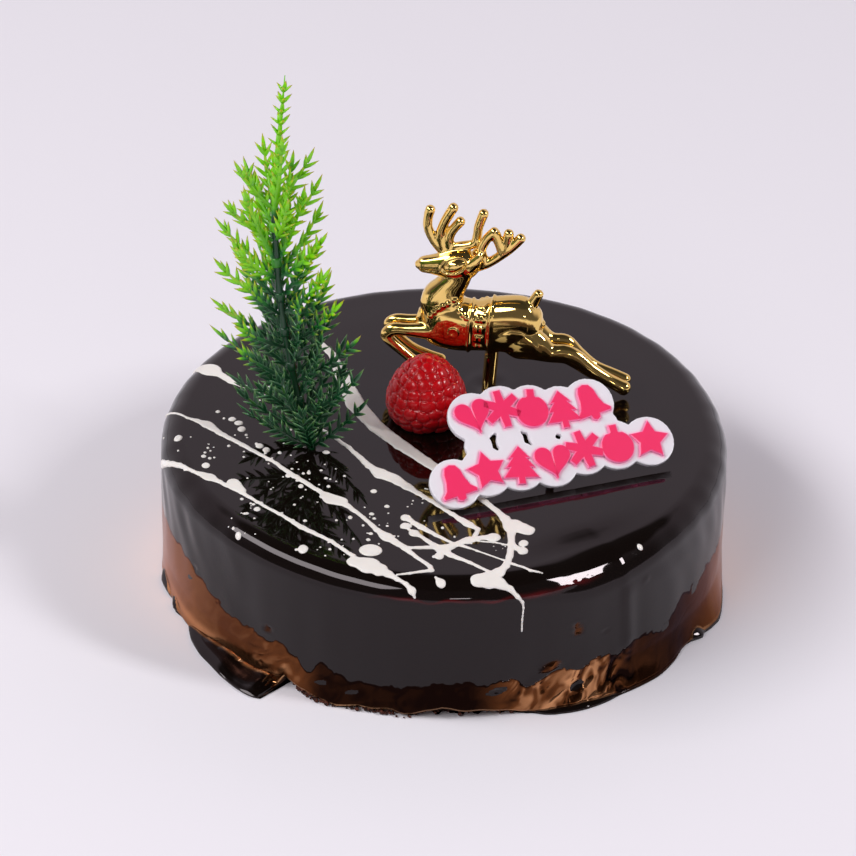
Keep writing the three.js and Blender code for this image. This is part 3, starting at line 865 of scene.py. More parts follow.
        # a beaded line under the rim, wells round the picks, and a shallow oval ring
        bead = 1 + 0.4 * waves(azimuth, [(1.0, 61, 0.0), (0.7, 97, 1.0)])
        bead = 0.28 * bead * bell(z, 0.6, 40.3) * smoothstep(8, 15, azimuth)
        radius = radius + np.where(on_rim, bead * smoothstep(34, 28, azimuth), 0.0)
        turn = np.radians(azimuth)
        x = radius * np.sin(turn)
        y = -radius * np.cos(turn)
        for well_x, well_y, across in self.pick_wells:
            away = np.hypot(x - well_x, y - well_y) / across
            ring = 0.45 * bell(away, 0.59, 2.1) - 0.5 * bell(away, 1)
            z = z + np.where(on_rim, 0.0, np.minimum(ring, 0.0) + 0.25 * np.maximum(ring, 0.0))
        oval = np.hypot((x - 42.6) / 3.4, (y + 63.6) / 1.9)
        z = z - np.where(on_rim, 0.0, 0.07 * bell(oval, 0.22, 1))
        return np.stack([x, y, z], axis=-1)

    def outward(self, azimuth: Points, along: Points) -> Points:
        """The glaze's outward normal, by small steps.

        Args:
            azimuth: degrees round the cake.
            along: distance over the surface from the centre of the top.

        Returns:
            The normal at each place.
        """
        step = 0.15
        turn = np.degrees(step / np.maximum(along, 2.0))
        across = self.surface(azimuth + turn, along) - self.surface(azimuth - turn, along)
        down = self.surface(azimuth, along + step) - self.surface(azimuth, along - step)
        normal = np.cross(down, across)
        return normal / np.linalg.norm(normal, axis=-1, keepdims=True)

    def ring_places(self) -> list[float]:
        """Where the sheet's rings lie.

        Returns:
            Their distances from the centre over the surface, the smallest first.
        """
        top = list(np.linspace(3.0, self.flat_edge, 34))
        rim = list(self.flat_edge + self.rim_length * np.linspace(0, 1, 31)[1:])
        down = 1 - (1 - np.linspace(0, 1, 73)[1:]) ** 1.6
        wall = list(self.flat_edge + self.rim_length + self.wall_length * down)
        return top + rim + wall

    def cut_sheet(self) -> Any:
        """Make the flat sheet of glaze, ring by ring, from a small disc.

        Returns:
            The sheet.
        """
        rings = self.ring_places()
        deselect_all()
        bpy.ops.mesh.primitive_circle_add(
            vertices=self.columns, radius=rings[0] * MM, fill_type="TRIFAN")
        sheet = adopt("cake_glaze")
        edit_all(sheet)
        bpy.ops.mesh.region_to_loop()
        for inner, outer in zip(rings, rings[1:]):
            bpy.ops.mesh.extrude_edges_move()
            scale = outer / inner
            bpy.ops.transform.resize(value=(scale, scale, 1.0), center_override=(0, 0, 0))
        end_edit()
        return sheet

    def wrap(self, sheet: Any) -> None:
        """Lay the sheet over the cake; paint the board's reflection, the lip's highlight and the
        red line.

        Args:
            sheet: the flat sheet.
        """
        flat = read_points(sheet)
        along = np.hypot(flat[:, 0], flat[:, 1])
        azimuth = np.degrees(np.arctan2(flat[:, 0], -flat[:, 1]))
        points = self.surface(azimuth, along)
        write_points(sheet, points)
        z = points[:, 2]
        on_wall = along > self.flat_edge + self.rim_length
        arc = np.radians(azimuth) * self.radius
        # where the painted copper board reflection ends, and where it is broken through
        edge = follow(self.board_reflection_edge, azimuth) + waves(azimuth, [(0.3, 33, 1.2), (0.4, 71, 2.0)])
        flap = self.flap_top(azimuth, z)
        lip = self.foot_lip + self.lift(azimuth)
        spot, hole = np.zeros((2, len(z)))
        for at, level, wide, tall, shown in self.patches:
            aside = np.radians(azimuth - at) * self.radius
            slant = level + 0.25 * aside
            cover = smoothstep(1.25, 0.85, np.hypot(aside / wide, (z - slant) / tall))
            spot = np.maximum(spot, cover * shown)
            hole = np.maximum(hole, cover * (1 - shown))
        # burst bubbles among the marks show the painted copper board reflection too
        for mark in self.marks[:3]:
            aside = np.radians(azimuth - mark.azimuth) * self.radius
            ring = np.hypot(aside, z - mark.height)
            spot = np.maximum(spot, 0.9 * smoothstep(1.25 * mark.across, 0.8 * mark.across, ring))
        # the painted reflection's brightness and swirls, which run down the wall at a slant
        slant = radians(48)
        share = follow(self.board_reflection_bright, azimuth)
        share += 0.3 * bell(z - lip, 1.6, 3) * smoothstep(-27, -34, azimuth)
        swirl_strength = 0.05 + 0.95 * smoothstep(9, 16, azimuth) * smoothstep(42, 36, azimuth)
        swirl_strength += 0.22 * bell(azimuth, 8, -36)
        swirl_strength *= smoothstep(180, 170, np.abs(azimuth)) * smoothstep(18, 13, z)
        # the painted highlight along the lip, and the dark red line under the rim
        line = np.maximum(flap + 0.35, lip + 0.3)
        shown = 0.8 * bell(azimuth, 14, -30)
        shown += 0.35 * smoothstep(-24, -14, azimuth) * smoothstep(24, 12, azimuth)
        shown += 0.25 * bell(azimuth, 5, 62)
        red = 40.3 + 0.35 * waves(azimuth, [(1.0, 31, 0.2), (0.7, 57, 1.0)])
        wide = 0.35 + 0.3 * smoothstep(12, 17, azimuth)
        rim_red_share = bell(z - red, wide) * (0.7 + 0.3 * waves(azimuth, [(1.0, 43, 0.6)]))
        rim_red_share *= smoothstep(-16, -8, azimuth) * smoothstep(34, 29, azimuth)
        for name, values in {
            "board_reflection_floor": z - np.maximum(flap, 0.2),
            "board_reflection_spot": np.where(on_wall, spot, 0.0),
            "board_reflection_rise": np.where(on_wall, z - edge + 30 * hole, 30.0),
            "flow_x": 0.65 * (arc * cos(slant) + z * sin(slant)),
            "flow_y": z * cos(slant) - arc * sin(slant),
            "board_reflection_bright": np.clip(share, 0, 1),
            "board_reflection_swirl": np.where(on_wall, swirl_strength, 0.0),
            "lip_highlight_rise": np.where(on_wall, z - line, 9.0),
            "lip_highlight_share": np.clip(shown, 0, 1),
            "rim_red_line": np.clip(rim_red_share, 0, 1),
        }.items():
            write_attribute(sheet, name, values)

    def close_foot(self, sheet: Any) -> None:
        """Turn the sheet's lower edge in under the cake and close the underside as sponge.

        Args:
            sheet: the wrapped sheet.
        """
        before = len(sheet.data.vertices)
        edit_all(sheet)
        bpy.ops.mesh.region_to_loop()
        for scale in (0.996, 0.98, 0.97):
            bpy.ops.mesh.extrude_edges_move()
            bpy.ops.transform.resize(value=(scale, scale, 1.0), center_override=(0, 0, 0))
        bpy.ops.mesh.edge_face_add()
        bpy.ops.mesh.inset(thickness=4 * MM)
        bpy.ops.mesh.poke()
        end_edit()
        points = read_points(sheet)
        for number, (low, inset) in enumerate([(0.55, 0.75), (0.25, 1.0), (0.0, 1.0)]):
            rows = slice(before + number * self.columns, before + (number + 1) * self.columns)
            turn = np.arctan2(points[rows, 0], -points[rows, 1])
            azimuth = np.degrees(turn)
            lift = self.lift(azimuth)
            torn = 1 + 0.25 * waves(azimuth, [(1.0, 83, 0.0), (0.8, 137, 1.0)])
            bare = self.bare_depth * np.clip(lift / 2.5, 0, 1) * torn * inset
            z = (0.35 * self.foot_lip + lift) * low / 0.55 if low else np.zeros_like(lift)
            radius = self.radius + self.stand_off(azimuth, z) - 0.8 - bare
            points[rows] = np.stack([radius * np.sin(turn), -radius * np.cos(turn), z], axis=-1)
        points[before + 3 * self.columns :, 2] = 0.0
        write_points(sheet, points)
        for face in sheet.data.polygons:
            face.material_index = int(max(face.vertices) >= before + self.columns)

    def build(self, glaze: Any, sponge: Any) -> None:
        """Build the glazed cake.

        Args:
            glaze: the poured glaze's material.
            sponge: the bare sponge's material.
        """
        sheet = self.cut_sheet()
        self.wrap(sheet)
        self.close_foot(sheet)
        face_outwards(sheet)
        finish_piece(sheet, "glaze", [glaze, sponge], "cake", 50)

    def build_crumbs(self, sponge: Any) -> None:
        """Scatter sponge crumbs along the bare foot, as one piece.

        Args:
            sponge: the torn sponge's material.
        """
        chance = random.Random(11)
        crumbs = []
        for number in range(90):
            azimuth = chance.uniform(-32, 16)
            if number % 3:
                azimuth = chance.gauss(-25, 3.0) if number % 3 == 1 else chance.gauss(-13, 2.5)
            size = 0.25 + 0.5 * chance.random() ** 2
            lift = float(self.lift(azimuth))
            inward = 2.0 * min(1.0, lift / 2.5)
            radius = self.radius - inward + chance.uniform(-0.8, 0.8)
            turn = radians(azimuth)
            z = size * 0.62 + chance.random() * max(0.0, min(lift, 2.6) - 0.6)
            deselect_all()
            bpy.ops.mesh.primitive_ico_sphere_add(
                subdivisions=2, radius=size * MM,
                location=(radius * sin(turn) * MM, -radius * cos(turn) * MM, z * MM))
            crumb = adopt(f"crumb_{number}")
            edit_all(crumb)
            bpy.ops.transform.vertex_random(offset=0.28 * size * MM, seed=number)
            end_edit()
            crumbs.append(crumb)
        for crumb in crumbs:
            bake_place(crumb)
        piece = join_objects(crumbs, "foot_crumbs")
        points = read_points(piece)
        points[:, 2] = np.maximum(points[:, 2], 0.02)
        write_points(piece, points)
        finish_piece(piece, "glaze", [sponge])


# ---- the drizzle


@dataclass
class Drizzle:
    """White glaze flicked over the top: strokes, drops and one run down the wall.

    Places are laid out flat, as if the glaze sheet were spread out, and then wrapped on the cake.
    A stroke's rows are x, y and its width there; a drop's are x, y and its size across and deep.
    """

    cake: GlazedCake
    cell: float = 0.24
    lip: float = 0.03
    shoulder: float = 0.8
    thick: float = 0.34
    root: float = 0.25
    melt: float = 0.55
    margin: float = 3.0
    strokes: tuple[Guide, ...] = (
        ((-76, 32.5, 2), (-70, 28, 6), (-66.5, 25, 2.4), (-63.5, 22, 2.6), (-58, 18, 1.5),
         (-50, 11, 1.2), (-43, 3, 1), (-34, -5.5, 1.2), (-28, -13, 1.4), (-22, -23, 2.2),
         (-18.5, -27, 4.6), (-15, -29, 4), (-11, -33, 3), (-7.5, -36.5, 1.8), (-4, -40, 1.5),
         (2, -46.5, 1.6), (6.5, -51.5, 2.6), (9.3, -54, 1.4), (8.4, -57.6, 1.5)),
        ((-84, 10, 0.8), (-75, 1.5, 0.8), (-72, 0, 1.6), (-69, -2, 3.2), (-65.5, -6, 1.9),
         (-58.5, -12.5, 1.6), (-50, -20.5, 1.3), (-43, -29, 1.8), (-36, -36.5, 1.6),
         (-32.5, -40.5, 4.6), (-30, -41.5, 4.2), (-28, -43.5, 1.9), (-23, -49.5, 1.3),
         (-19, -55.5, 1.8), (-16.3, -58.8, 3.6), (-14, -61, 2.4), (-11, -64, 2.1), (-8, -68, 1.3),
         (-4, -72.5, 1.4), (-3.5, -74.5, 1.4), (-9.5, -76, 0.8), (-13, -76.5, 0.6)),
        ((-85, -14, 2.8), (-81.5, -17.5, 2), (-76.5, -22, 1.7), (-72, -26.5, 1.2),
         (-67.5, -29.7, 3.4), (-64.5, -32, 1.5), (-58, -37.5, 1.6), (-53.5, -42.5, 1.1),
         (-47, -48.5, 1.2), (-40.5, -55, 1.8), (-32, -61.5, 1.3), (-25.5, -68.5, 1.5),
         (-25, -71, 4.4), (-21, -72.5, 6.4), (-18, -74.4, 4.6), (-15.8, -76, 2.4), (-13, -78, 1.2),
         (-10.5, -79.6, 1.1), (-9, -81.5, 2), (-8.3, -83.5, 0.7)),
        ((-60.5, -32.5, 4), (-58, -36.5, 2.6)),
        ((-38, 44, 2.4), (-34, 37.5, 2.6), (-30.5, 24, 4.4), (-26.5, 10, 5.6), (-20, -2, 5),
         (-13, -11.5, 4.6), (-6, -19.5, 3.8), (3, -29.5, 2.6), (11.5, -40.5, 1.9),
         (15, -45.5, 1.8), (17.2, -49.3, 2.8), (18.9, -53.5, 4.4), (18.9, -56.5, 2.4),
         (18.8, -61.5, 2.1), (18.2, -67.5, 2), (17, -72, 2.2), (15, -74.8, 3.4),
         (12.3, -77.6, 5.2), (9.4, -78, 4.4)),
        ((19.5, -52.8, 5.4), (24.2, -56, 4.2)),
        ((12.3, -77.8, 5), (15.3, -78.5, 3.2), (18.4, -79.8, 1.7), (20.7, -81.4, 1.1),
         (22.6, -82.8, 0.8), (23.4, -84.5, 0.5), (24.2, -88.5, 0.45), (25.2, -92.4, 0.6)),
        ((19.2, -62, 1.6), (20.4, -63.8, 1.7), (22.1, -65.2, 3.2)),
        ((-11, -49, 3.2), (-9.8, -50.2, 1.8), (-6.6, -53.5, 2.1), (-2.5, -57.2, 1.4),
         (3, -61.7, 0.9), (7, -63.6, 0.6)),
        ((-11, -53.2, 3.4), (-10, -54.8, 0.8), (-8.5, -56.6, 3), (-7.1, -57.6, 1.3),
         (-3, -62.2, 1.8), (-0.6, -64.2, 3.6), (1.8, -67, 1.9), (7, -70.3, 1.2), (12.7, -75, 1.1)),
        ((-11.2, -63.8, 1.2), (-2.8, -63.4, 1.6), (-0.6, -64.2, 3.6), (4, -61.1, 2),
         (6.3, -59.7, 3), (10.5, -58.3, 1.8), (13.7, -58.2, 4)),
        ((9.5, -60, 0.6), (14.6, -60.8, 0.5), (17.5, -62, 0.5)),
        ((5, -62, 0.6), (9, -64.7, 0.6), (16.2, -69, 0.5), (19.4, -71.2, 0.9), (24, -73.7, 0.7),
         (27.5, -74, 0.4)),
        ((-2.4, -77.4, 0.8), (-0.9, -79.4, 2.8)),
    )
    drops: Guide = (
        (-20.7, -65.5, 6.6, 5.6), (-39.8, -65.5, 2.9, 3.6), (22.4, -61.8, 3, 3),
        (-1.5, -67.4, 2.6, 3.4), (-77, -9, 2.6, 3), (-68.5, -23.5, 2.4, 2.8), (-62, 1, 2.3, 2.2),
        (-60, -1, 2.6, 2.4), (-59, -4.2, 2.4, 2.8), (-53.5, -13, 2.3, 2.4), (-51.5, -15, 2.2, 2.6),
        (-53.5, -46, 2, 2.1), (-59, -56.5, 2, 2.6), (-20.5, -36, 2, 1.9), (-16.5, -43.5, 1.6, 1.5),
        (-34.5, -16, 2.2, 1.7), (55.6, -58.4, 1.7, 1.6), (2.5, -24, 1.8, 1.5),
    )

    def scatter(self) -> list[Row]:
        """Small drops thrown off the strokes.

        Returns:
            Place and size across and deep of each drop.
        """
        chance = random.Random(29)
        drops = []
        zones = [
            (-62, -14, 15, 12, 26, 0.55, 1.5), (-40, -30, 13, 10, 34, 0.5, 1.7),
            (-52, -48, 12, 10, 22, 0.45, 1.3), (-18, -52, 11, 9, 24, 0.4, 1.4),
            (-56, 14, 9, 8, 9, 0.5, 1.2), (8, -64, 10, 7, 14, 0.35, 1.0),
            (-6, -38, 9, 7, 10, 0.4, 1.1), (-30, -66, 14, 6, 14, 0.35, 1.1),
        ]
        for x, y, wide, far, count, least, most in zones:
            for _ in range(count):
                size = least + (most - least) * chance.random() ** 2.4
                deep = size * chance.uniform(0.9, 1.35)
                drops.append((chance.gauss(x, 0.6 * wide), chance.gauss(y, 0.6 * far), size, deep))
        return [drop for drop in drops if hypot(*drop[:2]) < 84]

    def field_values(self) -> tuple[Points, Points, Points]:
        """Signed distance to the drizzle's edge over a flat grid.

        Returns:
            The grid's x values, its y values, and the distance at each crossing.
        """
        xs = np.arange(-88.0, 60.0, self.cell)
        ys = np.arange(-98.0, 48.0, self.cell)
        grid_x, grid_y = np.meshgrid(xs, ys, indexing="ij")
        value = np.full(grid_x.shape, 9.0)

        def blend(found: Points, area: tuple[slice, ...]) -> None:
            """Melt a new shape into the field."""
            old = value[area]
            near = np.clip(0.5 + 0.5 * (old - found) / self.melt, 0, 1)
            value[area] = old + (found - old) * near - self.melt * near * (1 - near)

        def window(x0: float, x1: float, y0: float, y1: float) -> tuple[slice, ...]:
            """The part of the grid round a shape."""
            edges = ((x0, x1, xs[0]), (y0, y1, ys[0]))
            return tuple(slice(max(0, int((low - self.margin - start) / self.cell)),
                               int((high + self.margin - start) / self.cell) + 1)
                         for low, high, start in edges)

        for number, stroke in enumerate(self.strokes):
            for (x0, y0, w0), (x1, y1, w1) in zip(stroke, stroke[1:]):
                area = window(min(x0, x1), max(x0, x1), min(y0, y1), max(y0, y1))
                px, py = grid_x[area], grid_y[area]
                run = np.array([x1 - x0, y1 - y0])
                share = ((px - x0) * run[0] + (py - y0) * run[1]) / (run @ run)
                share = np.clip(share, 0, 1)
                away = np.hypot(px - x0 - share * run[0], py - y0 - share * run[1])
                half = (w0 + (w1 - w0) * smoothstep(0, 1, share)) / 2
                ragged = np.sin(0.9 * px + 1.3 * py + number) * np.sin(1.7 * px - 0.8 * py)
                blend(away - half - 0.1 * np.minimum(half, 0.8) * ragged, area)
        for x, y, long, deep in [*self.drops, *self.scatter()]:
            area = window(x - long, x + long, y - deep, y + deep)
            share = np.hypot((grid_x[area] - x) / (long / 2), (grid_y[area] - y) / (deep / 2))
            blend((share - 1) * min(long, deep) / 2, area)
        return xs, ys, value

    def build(self, material: Any) -> None:
        """Build the drizzle as one closed skin of glaze.

        A primitive can't take outlines that melt together like this, so the skin is laid cell by
        cell over the field and its edge is drawn in to the field's own edge.

        Args:
            material: the white glaze's material.
        """
        xs, ys, value = self.field_values()
        middle = (value[:-1, :-1] + value[1:, :-1] + value[:-1, 1:] + value[1:, 1:]) / 4
        inside = middle < 0
        cells = np.argwhere(inside)
        padded = np.pad(inside, 1).astype(int)
        around = padded[:-1, :-1] + padded[1:, :-1] + padded[:-1, 1:] + padded[1:, 1:]
        at = np.nonzero(around)
        number = np.cumsum(around > 0).reshape(around.shape) - 1
        edge = around[at] < 4
        gx, gy = (slope[at] for slope in np.gradient(value, self.cell))
        steep = np.maximum(np.hypot(gx, gy), 0.5) ** 2
        depth = value[at]
        pull = np.where(edge, np.clip(depth, -0.9 * self.cell, 0.9 * self.cell), 0.0)
        flat_x = xs[at[0]] - pull * gx / steep
        flat_y = ys[at[1]] - pull * gy / steep
        inner = np.where(edge, 0.0, np.clip(-depth / self.shoulder, 0, 1))
        rise = self.lip + self.thick * np.sqrt(1 - (1 - inner) ** 2)
        along = np.hypot(flat_x, flat_y)
        azimuth = np.degrees(np.arctan2(flat_x, -flat_y))
        base = self.cake.surface(azimuth, along)
        out = self.cake.outward(azimuth, along)
        upper = base + out * rise[:, None]
        lower = base - out * self.root
        count = len(upper)
        corners = [(0, 0), (1, 0), (1, 1), (0, 1)]
        tops = np.stack([number[cells[:, 0] + i, cells[:, 1] + j] for i, j in corners], axis=1)
        faces = tops.tolist() + (tops[:, ::-1] + count).tolist()
        for side, (di, dj) in enumerate([(0, -1), (1, 0), (0, 1), (-1, 0)]):
            open_side = padded[cells[:, 0] + 1 + di, cells[:, 1] + 1 + dj] == 0
            start, end = tops[open_side][:, [side, (side + 1) % 4]].T
            faces += np.stack([end, start, start + count, end + count], axis=1).tolist()
        piece = mesh_object("white_drizzle", np.concatenate([upper, lower]), faces)
        finish_piece(piece, "glaze", [material], angle=60)


# ---- the fir tree


@dataclass
class FirTree:
    """The moulded fir: a bowed stem, whorls of sprigs on sleeves, and a spire."""

    lean: float = 10.4
    lean_apex: float = 79.0
    stem_radius: float = 1.25
    stem_top: float = 88.0
    tip_top: float = 121.5
    pick_depth: float = 10.0
    tiers: int = 8
    first_hub: float = 5.0
    last_hub: float = 85.0
    sprigs: int = 6
    needle_length: float = 5.9
    pair_pitch: float = 3.9
    tips: Guide = (
        (8, 19), (15, 20.5), (26, 24), (36, 23), (47, 20.6), (58, 18.8), (70, 17.8), (85, 15.8),
        (95, 12.8), (104, 9),
    )
    foot: Pair = (0.0, 0.0)
    top: float = CAKE_TOP

    def __post_init__(self) -> None:
        """Take the stem's foot from the CAD node."""
        low, high = node_box("tree_stem")
        self.foot = (float(high[0]) - self.stem_radius, float(low[1] + high[1]) / 2)

    @property
    def hub_pitch(self) -> float:
        """How far apart the whorls' hubs are."""
        return (self.last_hub - self.first_hub) / (self.tiers - 1)

    def offset(self, height: float) -> float:
        """The stem's sideways place at a height above the cake."""
        return -self.lean * (1 - ((height - self.lean_apex) / self.lean_apex) ** 2)

    def lean_at(self, height: float) -> float:
        """The stem's lean from upright at a height, in radians."""
        return atan(2 * self.lean * (height - self.lean_apex) / self.lean_apex**2)

    def at(self, height: float) -> Vector:
        """The stem's centre at a height above the cake, in millimetres."""
        x = self.foot[0] + self.offset(max(0.0, height))
        return Vector((x, self.foot[1], self.top + height))

    def needle(self) -> Any:
        """One needle: a flat blade that swells and then tapers.

        Returns:
            The needle, one millimetre long along +X.
        """
        deselect_all()
        bpy.ops.mesh.primitive_cone_add(
            vertices=6, radius1=0.5 * MM, radius2=0.0, depth=1.0 * MM, location=(0, 0, 0.5 * MM))
        blade = adopt("needle")
        bake_place(blade)
        cut_across(blade, (0.3, 0.66))
        points = read_points(blade)
        z = np.clip(points[:, 2], 0, 1)
        full = np.interp(z, [0.0, 0.3, 0.66, 1.0], [0.85, 1.0, 0.66, 0.06])
        angle = np.arctan2(points[:, 1], points[:, 0])
        shaped = np.stack([z, 0.5 * full * np.cos(angle), 0.5 * full * np.sin(angle)], axis=-1)
        write_points(blade, shaped)
        write_attribute(blade, "needle_point", z)
        # the share towards the blade's edges, which places the painted highlight
        write_attribute(blade, "needle_edge_highlight", np.cos(angle) ** 2)
        face_outwards(blade)
        return blade

    def copy_needle(self, blade: Any, place: Matrix) -> Any:
        """Copy the needle, with a mesh of its own.

        Args:
            blade: the needle to copy.
            place: its place, turn and size.

        Returns:
            The copy.
        """
        copy = blade.copy()
        copy.data = blade.data.copy()
        bpy.context.collection.objects.link(copy)
        copy.data.transform(place)
        return copy

    def sprig(self, blade: Any, length: float, spread: float, pairs: int, seed: int) -> Any:
        """One sprig along +X: a rib with needles in pairs that point forwards.

        Args:
            blade: the needle to copy.
            length: the sprig's length.
            spread: the longest needles' length.
            pairs: how many pairs of needles.
            seed: for the small unevenness from sprig to sprig.

        Returns:
            The sprig, as one object.
        """
        chance = random.Random(seed)
        rib = length - 0.75 * spread

        def place(at: float, turn: float, tilt: float, long: float, wide: float) -> Any:
            """Copy the needle to a place on the rib."""
            move = Matrix.Translation((at * MM, 0, 0))
            turned = Matrix.Rotation(turn, 4, "Z") @ Matrix.Rotation(tilt, 4, "Y")
            return self.copy_needle(blade, move @ turned @ Matrix.Diagonal((long, wide, 0.8, 1)))

        pieces = [place(0, 0, 0, 1.25 * rib, 1.4), place(rib - 0.4, 0, 0, 0.95 * spread, 1.4)]
        for pair in range(pairs):
            share = (pair + 0.5) / pairs
            swell = sin(pi * (0.2 + 0.6 * share))
            for side in (-1, 1):
                long = spread * (0.3 + 0.7 * swell) * chance.uniform(0.85, 1.1)
                turn = side * radians(chance.uniform(33, 44) - 6 * share)
                tilt = radians(chance.uniform(-26, 4))
                pieces.append(place(rib * share + 0.2 * side, turn, tilt, long, 1.3))
            if pair % 2 == seed % 2:
                pieces.append(place(rib * share + 1.2, 0.0, radians(-42), 0.7 * spread, 1.2))
        return join_objects(pieces, "sprig")

    def curl(self, obj: Any, length: float, start: float, end: float) -> None:
        """Bend a sprig along an arc.

        Args:
            obj: the sprig, straight along +X.
            length: the sprig's length.
            start: the slope that it leaves at, in radians.
            end: the slope that it ends at, in radians.
        """
        points = read_points(obj)
        along, over = points[:, 0].copy(), points[:, 2].copy()
        bend = (end - start) / length
        angle = start + bend * along
        points[:, 0] = (np.sin(angle) - sin(start)) / bend - over * np.sin(angle)
        points[:, 2] = (cos(start) - np.cos(angle)) / bend + over * np.cos(angle)
        write_points(obj, points)

    def spray(self, points: Points) -> Points:
        """How much lime spray each point took: more with height and outwards.

        Args:
            points: the points of a piece in its place.

        Returns:
            The spray's share at each point.
        """
        height = points[:, 2] - self.top
        centre = np.array([self.at(h)[0] for h in np.clip(height, 0, self.tip_top)])
        out = np.hypot(points[:, 0] - centre, points[:, 1] - self.foot[1])
        left = smoothstep(0, 24, centre - points[:, 0])
        body = smoothstep(36, 74, height + 0.9 * (out - 8) + 9 * left)
        tips = 0.5 * smoothstep(7, 19, out) * smoothstep(28, 52, height + 6 * left)
        patch = 0.12 * np.sin(0.35 * points[:, 0] + 0.22 * height) * smoothstep(30, 50, height)
        return np.clip(body + tips + patch, 0.0, 1.0)

    def whorl(self, blade: Any, tier: int) -> Any:
        """One whorl: a sleeve round the stem with two levels of sprigs that slant up and out.

        Args:
            blade: the needle to copy.
            tier: the whorl's number, the lowest first, from zero.

        Returns:
            The whorl, in its place.
        """
        height = self.first_hub + self.hub_pitch * tier
        chance = random.Random(100 + tier)
        sprigs = []
        count = 2 * self.sprigs if tier < self.tiers - 2 else 2 * self.sprigs - 4
        for number in range(count):
            upper = number % 2
            turn = 2 * pi * (number + 0.5) / count - pi / 2 + 0.5 * tier * upper
            turn += radians(chance.uniform(-9, 9))
            # the front is sparser, and its sprigs are steep and short
            toward_front = max(0.0, -sin(turn))
            if upper and (tier == self.tiers - 1 or (tier > 2 and toward_front > 0.75)):
                continue
            if 0 < tier < 6 and toward_front > 0.9:
                continue
            lift = (0.6 if upper else -4.6) + chance.uniform(-0.9, 0.9)
            rise = (14.5 + 0.02 * height) * chance.uniform(0.8, 1.15) * (1 + 0.35 * upper)
            reach = float(follow(self.tips, height + lift + rise))
            reach *= chance.uniform(0.48, 0.72) if upper else chance.uniform(0.92, 1.02)
            steep = float(smoothstep(0.45, 0.95, toward_front))
            reach *= 1 - 0.42 * steep
            rise *= 1 + 0.35 * steep
            # an arc over the chord, and as many needles as fit on it
            slope = atan2(rise, reach - 1.0)
            half = radians(chance.uniform(7, 15))
            length = hypot(rise, reach - 1.0) * half / sin(half)
            spread = self.needle_length * (0.8 + 0.2 * min(1.0, reach / 22))
            pairs = max(3, round((length - 2.0) / self.pair_pitch))
            twig = self.sprig(blade, length, spread, pairs, 1000 * tier + number)
            roll = chance.uniform(50, 100) if abs(cos(turn)) > 0.5 else chance.uniform(-35, 35)
            twig.data.transform(Matrix.Rotation(radians(roll), 4, "X"))
            self.curl(twig, length, slope - half, slope + half)
            twig.data.transform(
                Matrix.Rotation(turn, 4, "Z") @ Matrix.Translation((0.9 * MM, 0, lift * MM)))
            sprigs.append(twig)
        deselect_all()
        bpy.ops.mesh.primitive_cylinder_add(vertices=20, radius=1.6 * MM, depth=3.0 * MM)
        sleeve = adopt("sleeve")
        apply_modifier(sleeve, "BEVEL", width=0.4 * MM, segments=2, limit_method="ANGLE")
        write_attribute(sleeve, "needle_point", 0.2)
        piece = join_objects([sleeve, *sprigs], f"fir_whorl_{tier + 1}")
        leaned = Matrix.Rotation(self.lean_at(height), 4, "Y")
        piece.data.transform(Matrix.Translation(self.at(height) * MM) @ leaned)
        points = read_points(piece)
        points[:, 2] = np.maximum(points[:, 2], self.top + 0.4)
        write_points(piece, points)
        return piece

    def stem(self) -> Any:
        """The stem: a rod drawn up through the hubs, with a slight swelling at each.

        Returns:
            The stem, in its place.
        """
        deselect_all()
        total = self.stem_top + self.pick_depth
        bpy.ops.mesh.primitive_cylinder_add(
            vertices=14, radius=self.stem_radius * MM, depth=total * MM)
        rod = adopt("fir_stem")
        cut_across(rod, [-total / 2 + total * step / 60 for step in range(1, 60)])
        points = read_points(rod)
        height = points[:, 2] + total / 2 - self.pick_depth
        thin = np.interp(height, [-self.pick_depth, 0, self.stem_top], [0.7, 1.0, 0.8])
        knot = 1 + 0.1 * np.cos(2 * pi * (height - self.first_hub) / self.hub_pitch)
        middle = np.array([self.at(float(h)) for h in height])
        middle[:, :2] += points[:, :2] * (thin * knot)[:, None]
        write_points(rod, middle)
        write_attribute(rod, "needle_point", 0.2)
        return rod

    def spire(self, blade: Any) -> Any:
        """The spire: a tall rib with needles at every quarter turn and a fine point.

        Args:
            blade: the needle to copy.

        Returns:
            The spire, in its place.
        """
        low = self.at(self.stem_top + 0.3)
        axis = self.at(self.tip_top) - low
        length = axis.length
        pieces = []
        levels = 9
        chance = random.Random(5)
        for level in range(levels):
            share = 0.02 + 0.83 * level / (levels - 1)
            long = 5.2 - 2.2 * share
            for side in range(4):
                turn = side * pi / 2 + (0.4 if level % 2 else 0.0) + chance.uniform(-0.2, 0.2)
                pieces.append(self.copy_needle(
                    blade, Matrix.Translation((0, 0, length * share * MM))
                    @ Matrix.Rotation(turn, 4, "Z")
                    @ Matrix.Rotation(-radians(chance.uniform(38, 50)), 4, "Y")
                    @ Matrix.Diagonal((long, 1.6, 0.9, 1))))
        deselect_all()
        bpy.ops.mesh.primitive_cone_add(
            vertices=10, radius1=1.15 * MM, radius2=0.12 * MM, depth=length * MM,
            location=(0, 0, length / 2 * MM))
        core = adopt("spire_core")
        bake_place(core)
        write_attribute(core, "needle_point", 0.3)
        piece = join_objects([core, *pieces], "fir_spire")
        turn = Vector((0, 0, 1)).rotation_difference(axis).to_matrix().to_4x4()
        piece.data.transform(Matrix.Translation(low * MM) @ turn)
        return piece

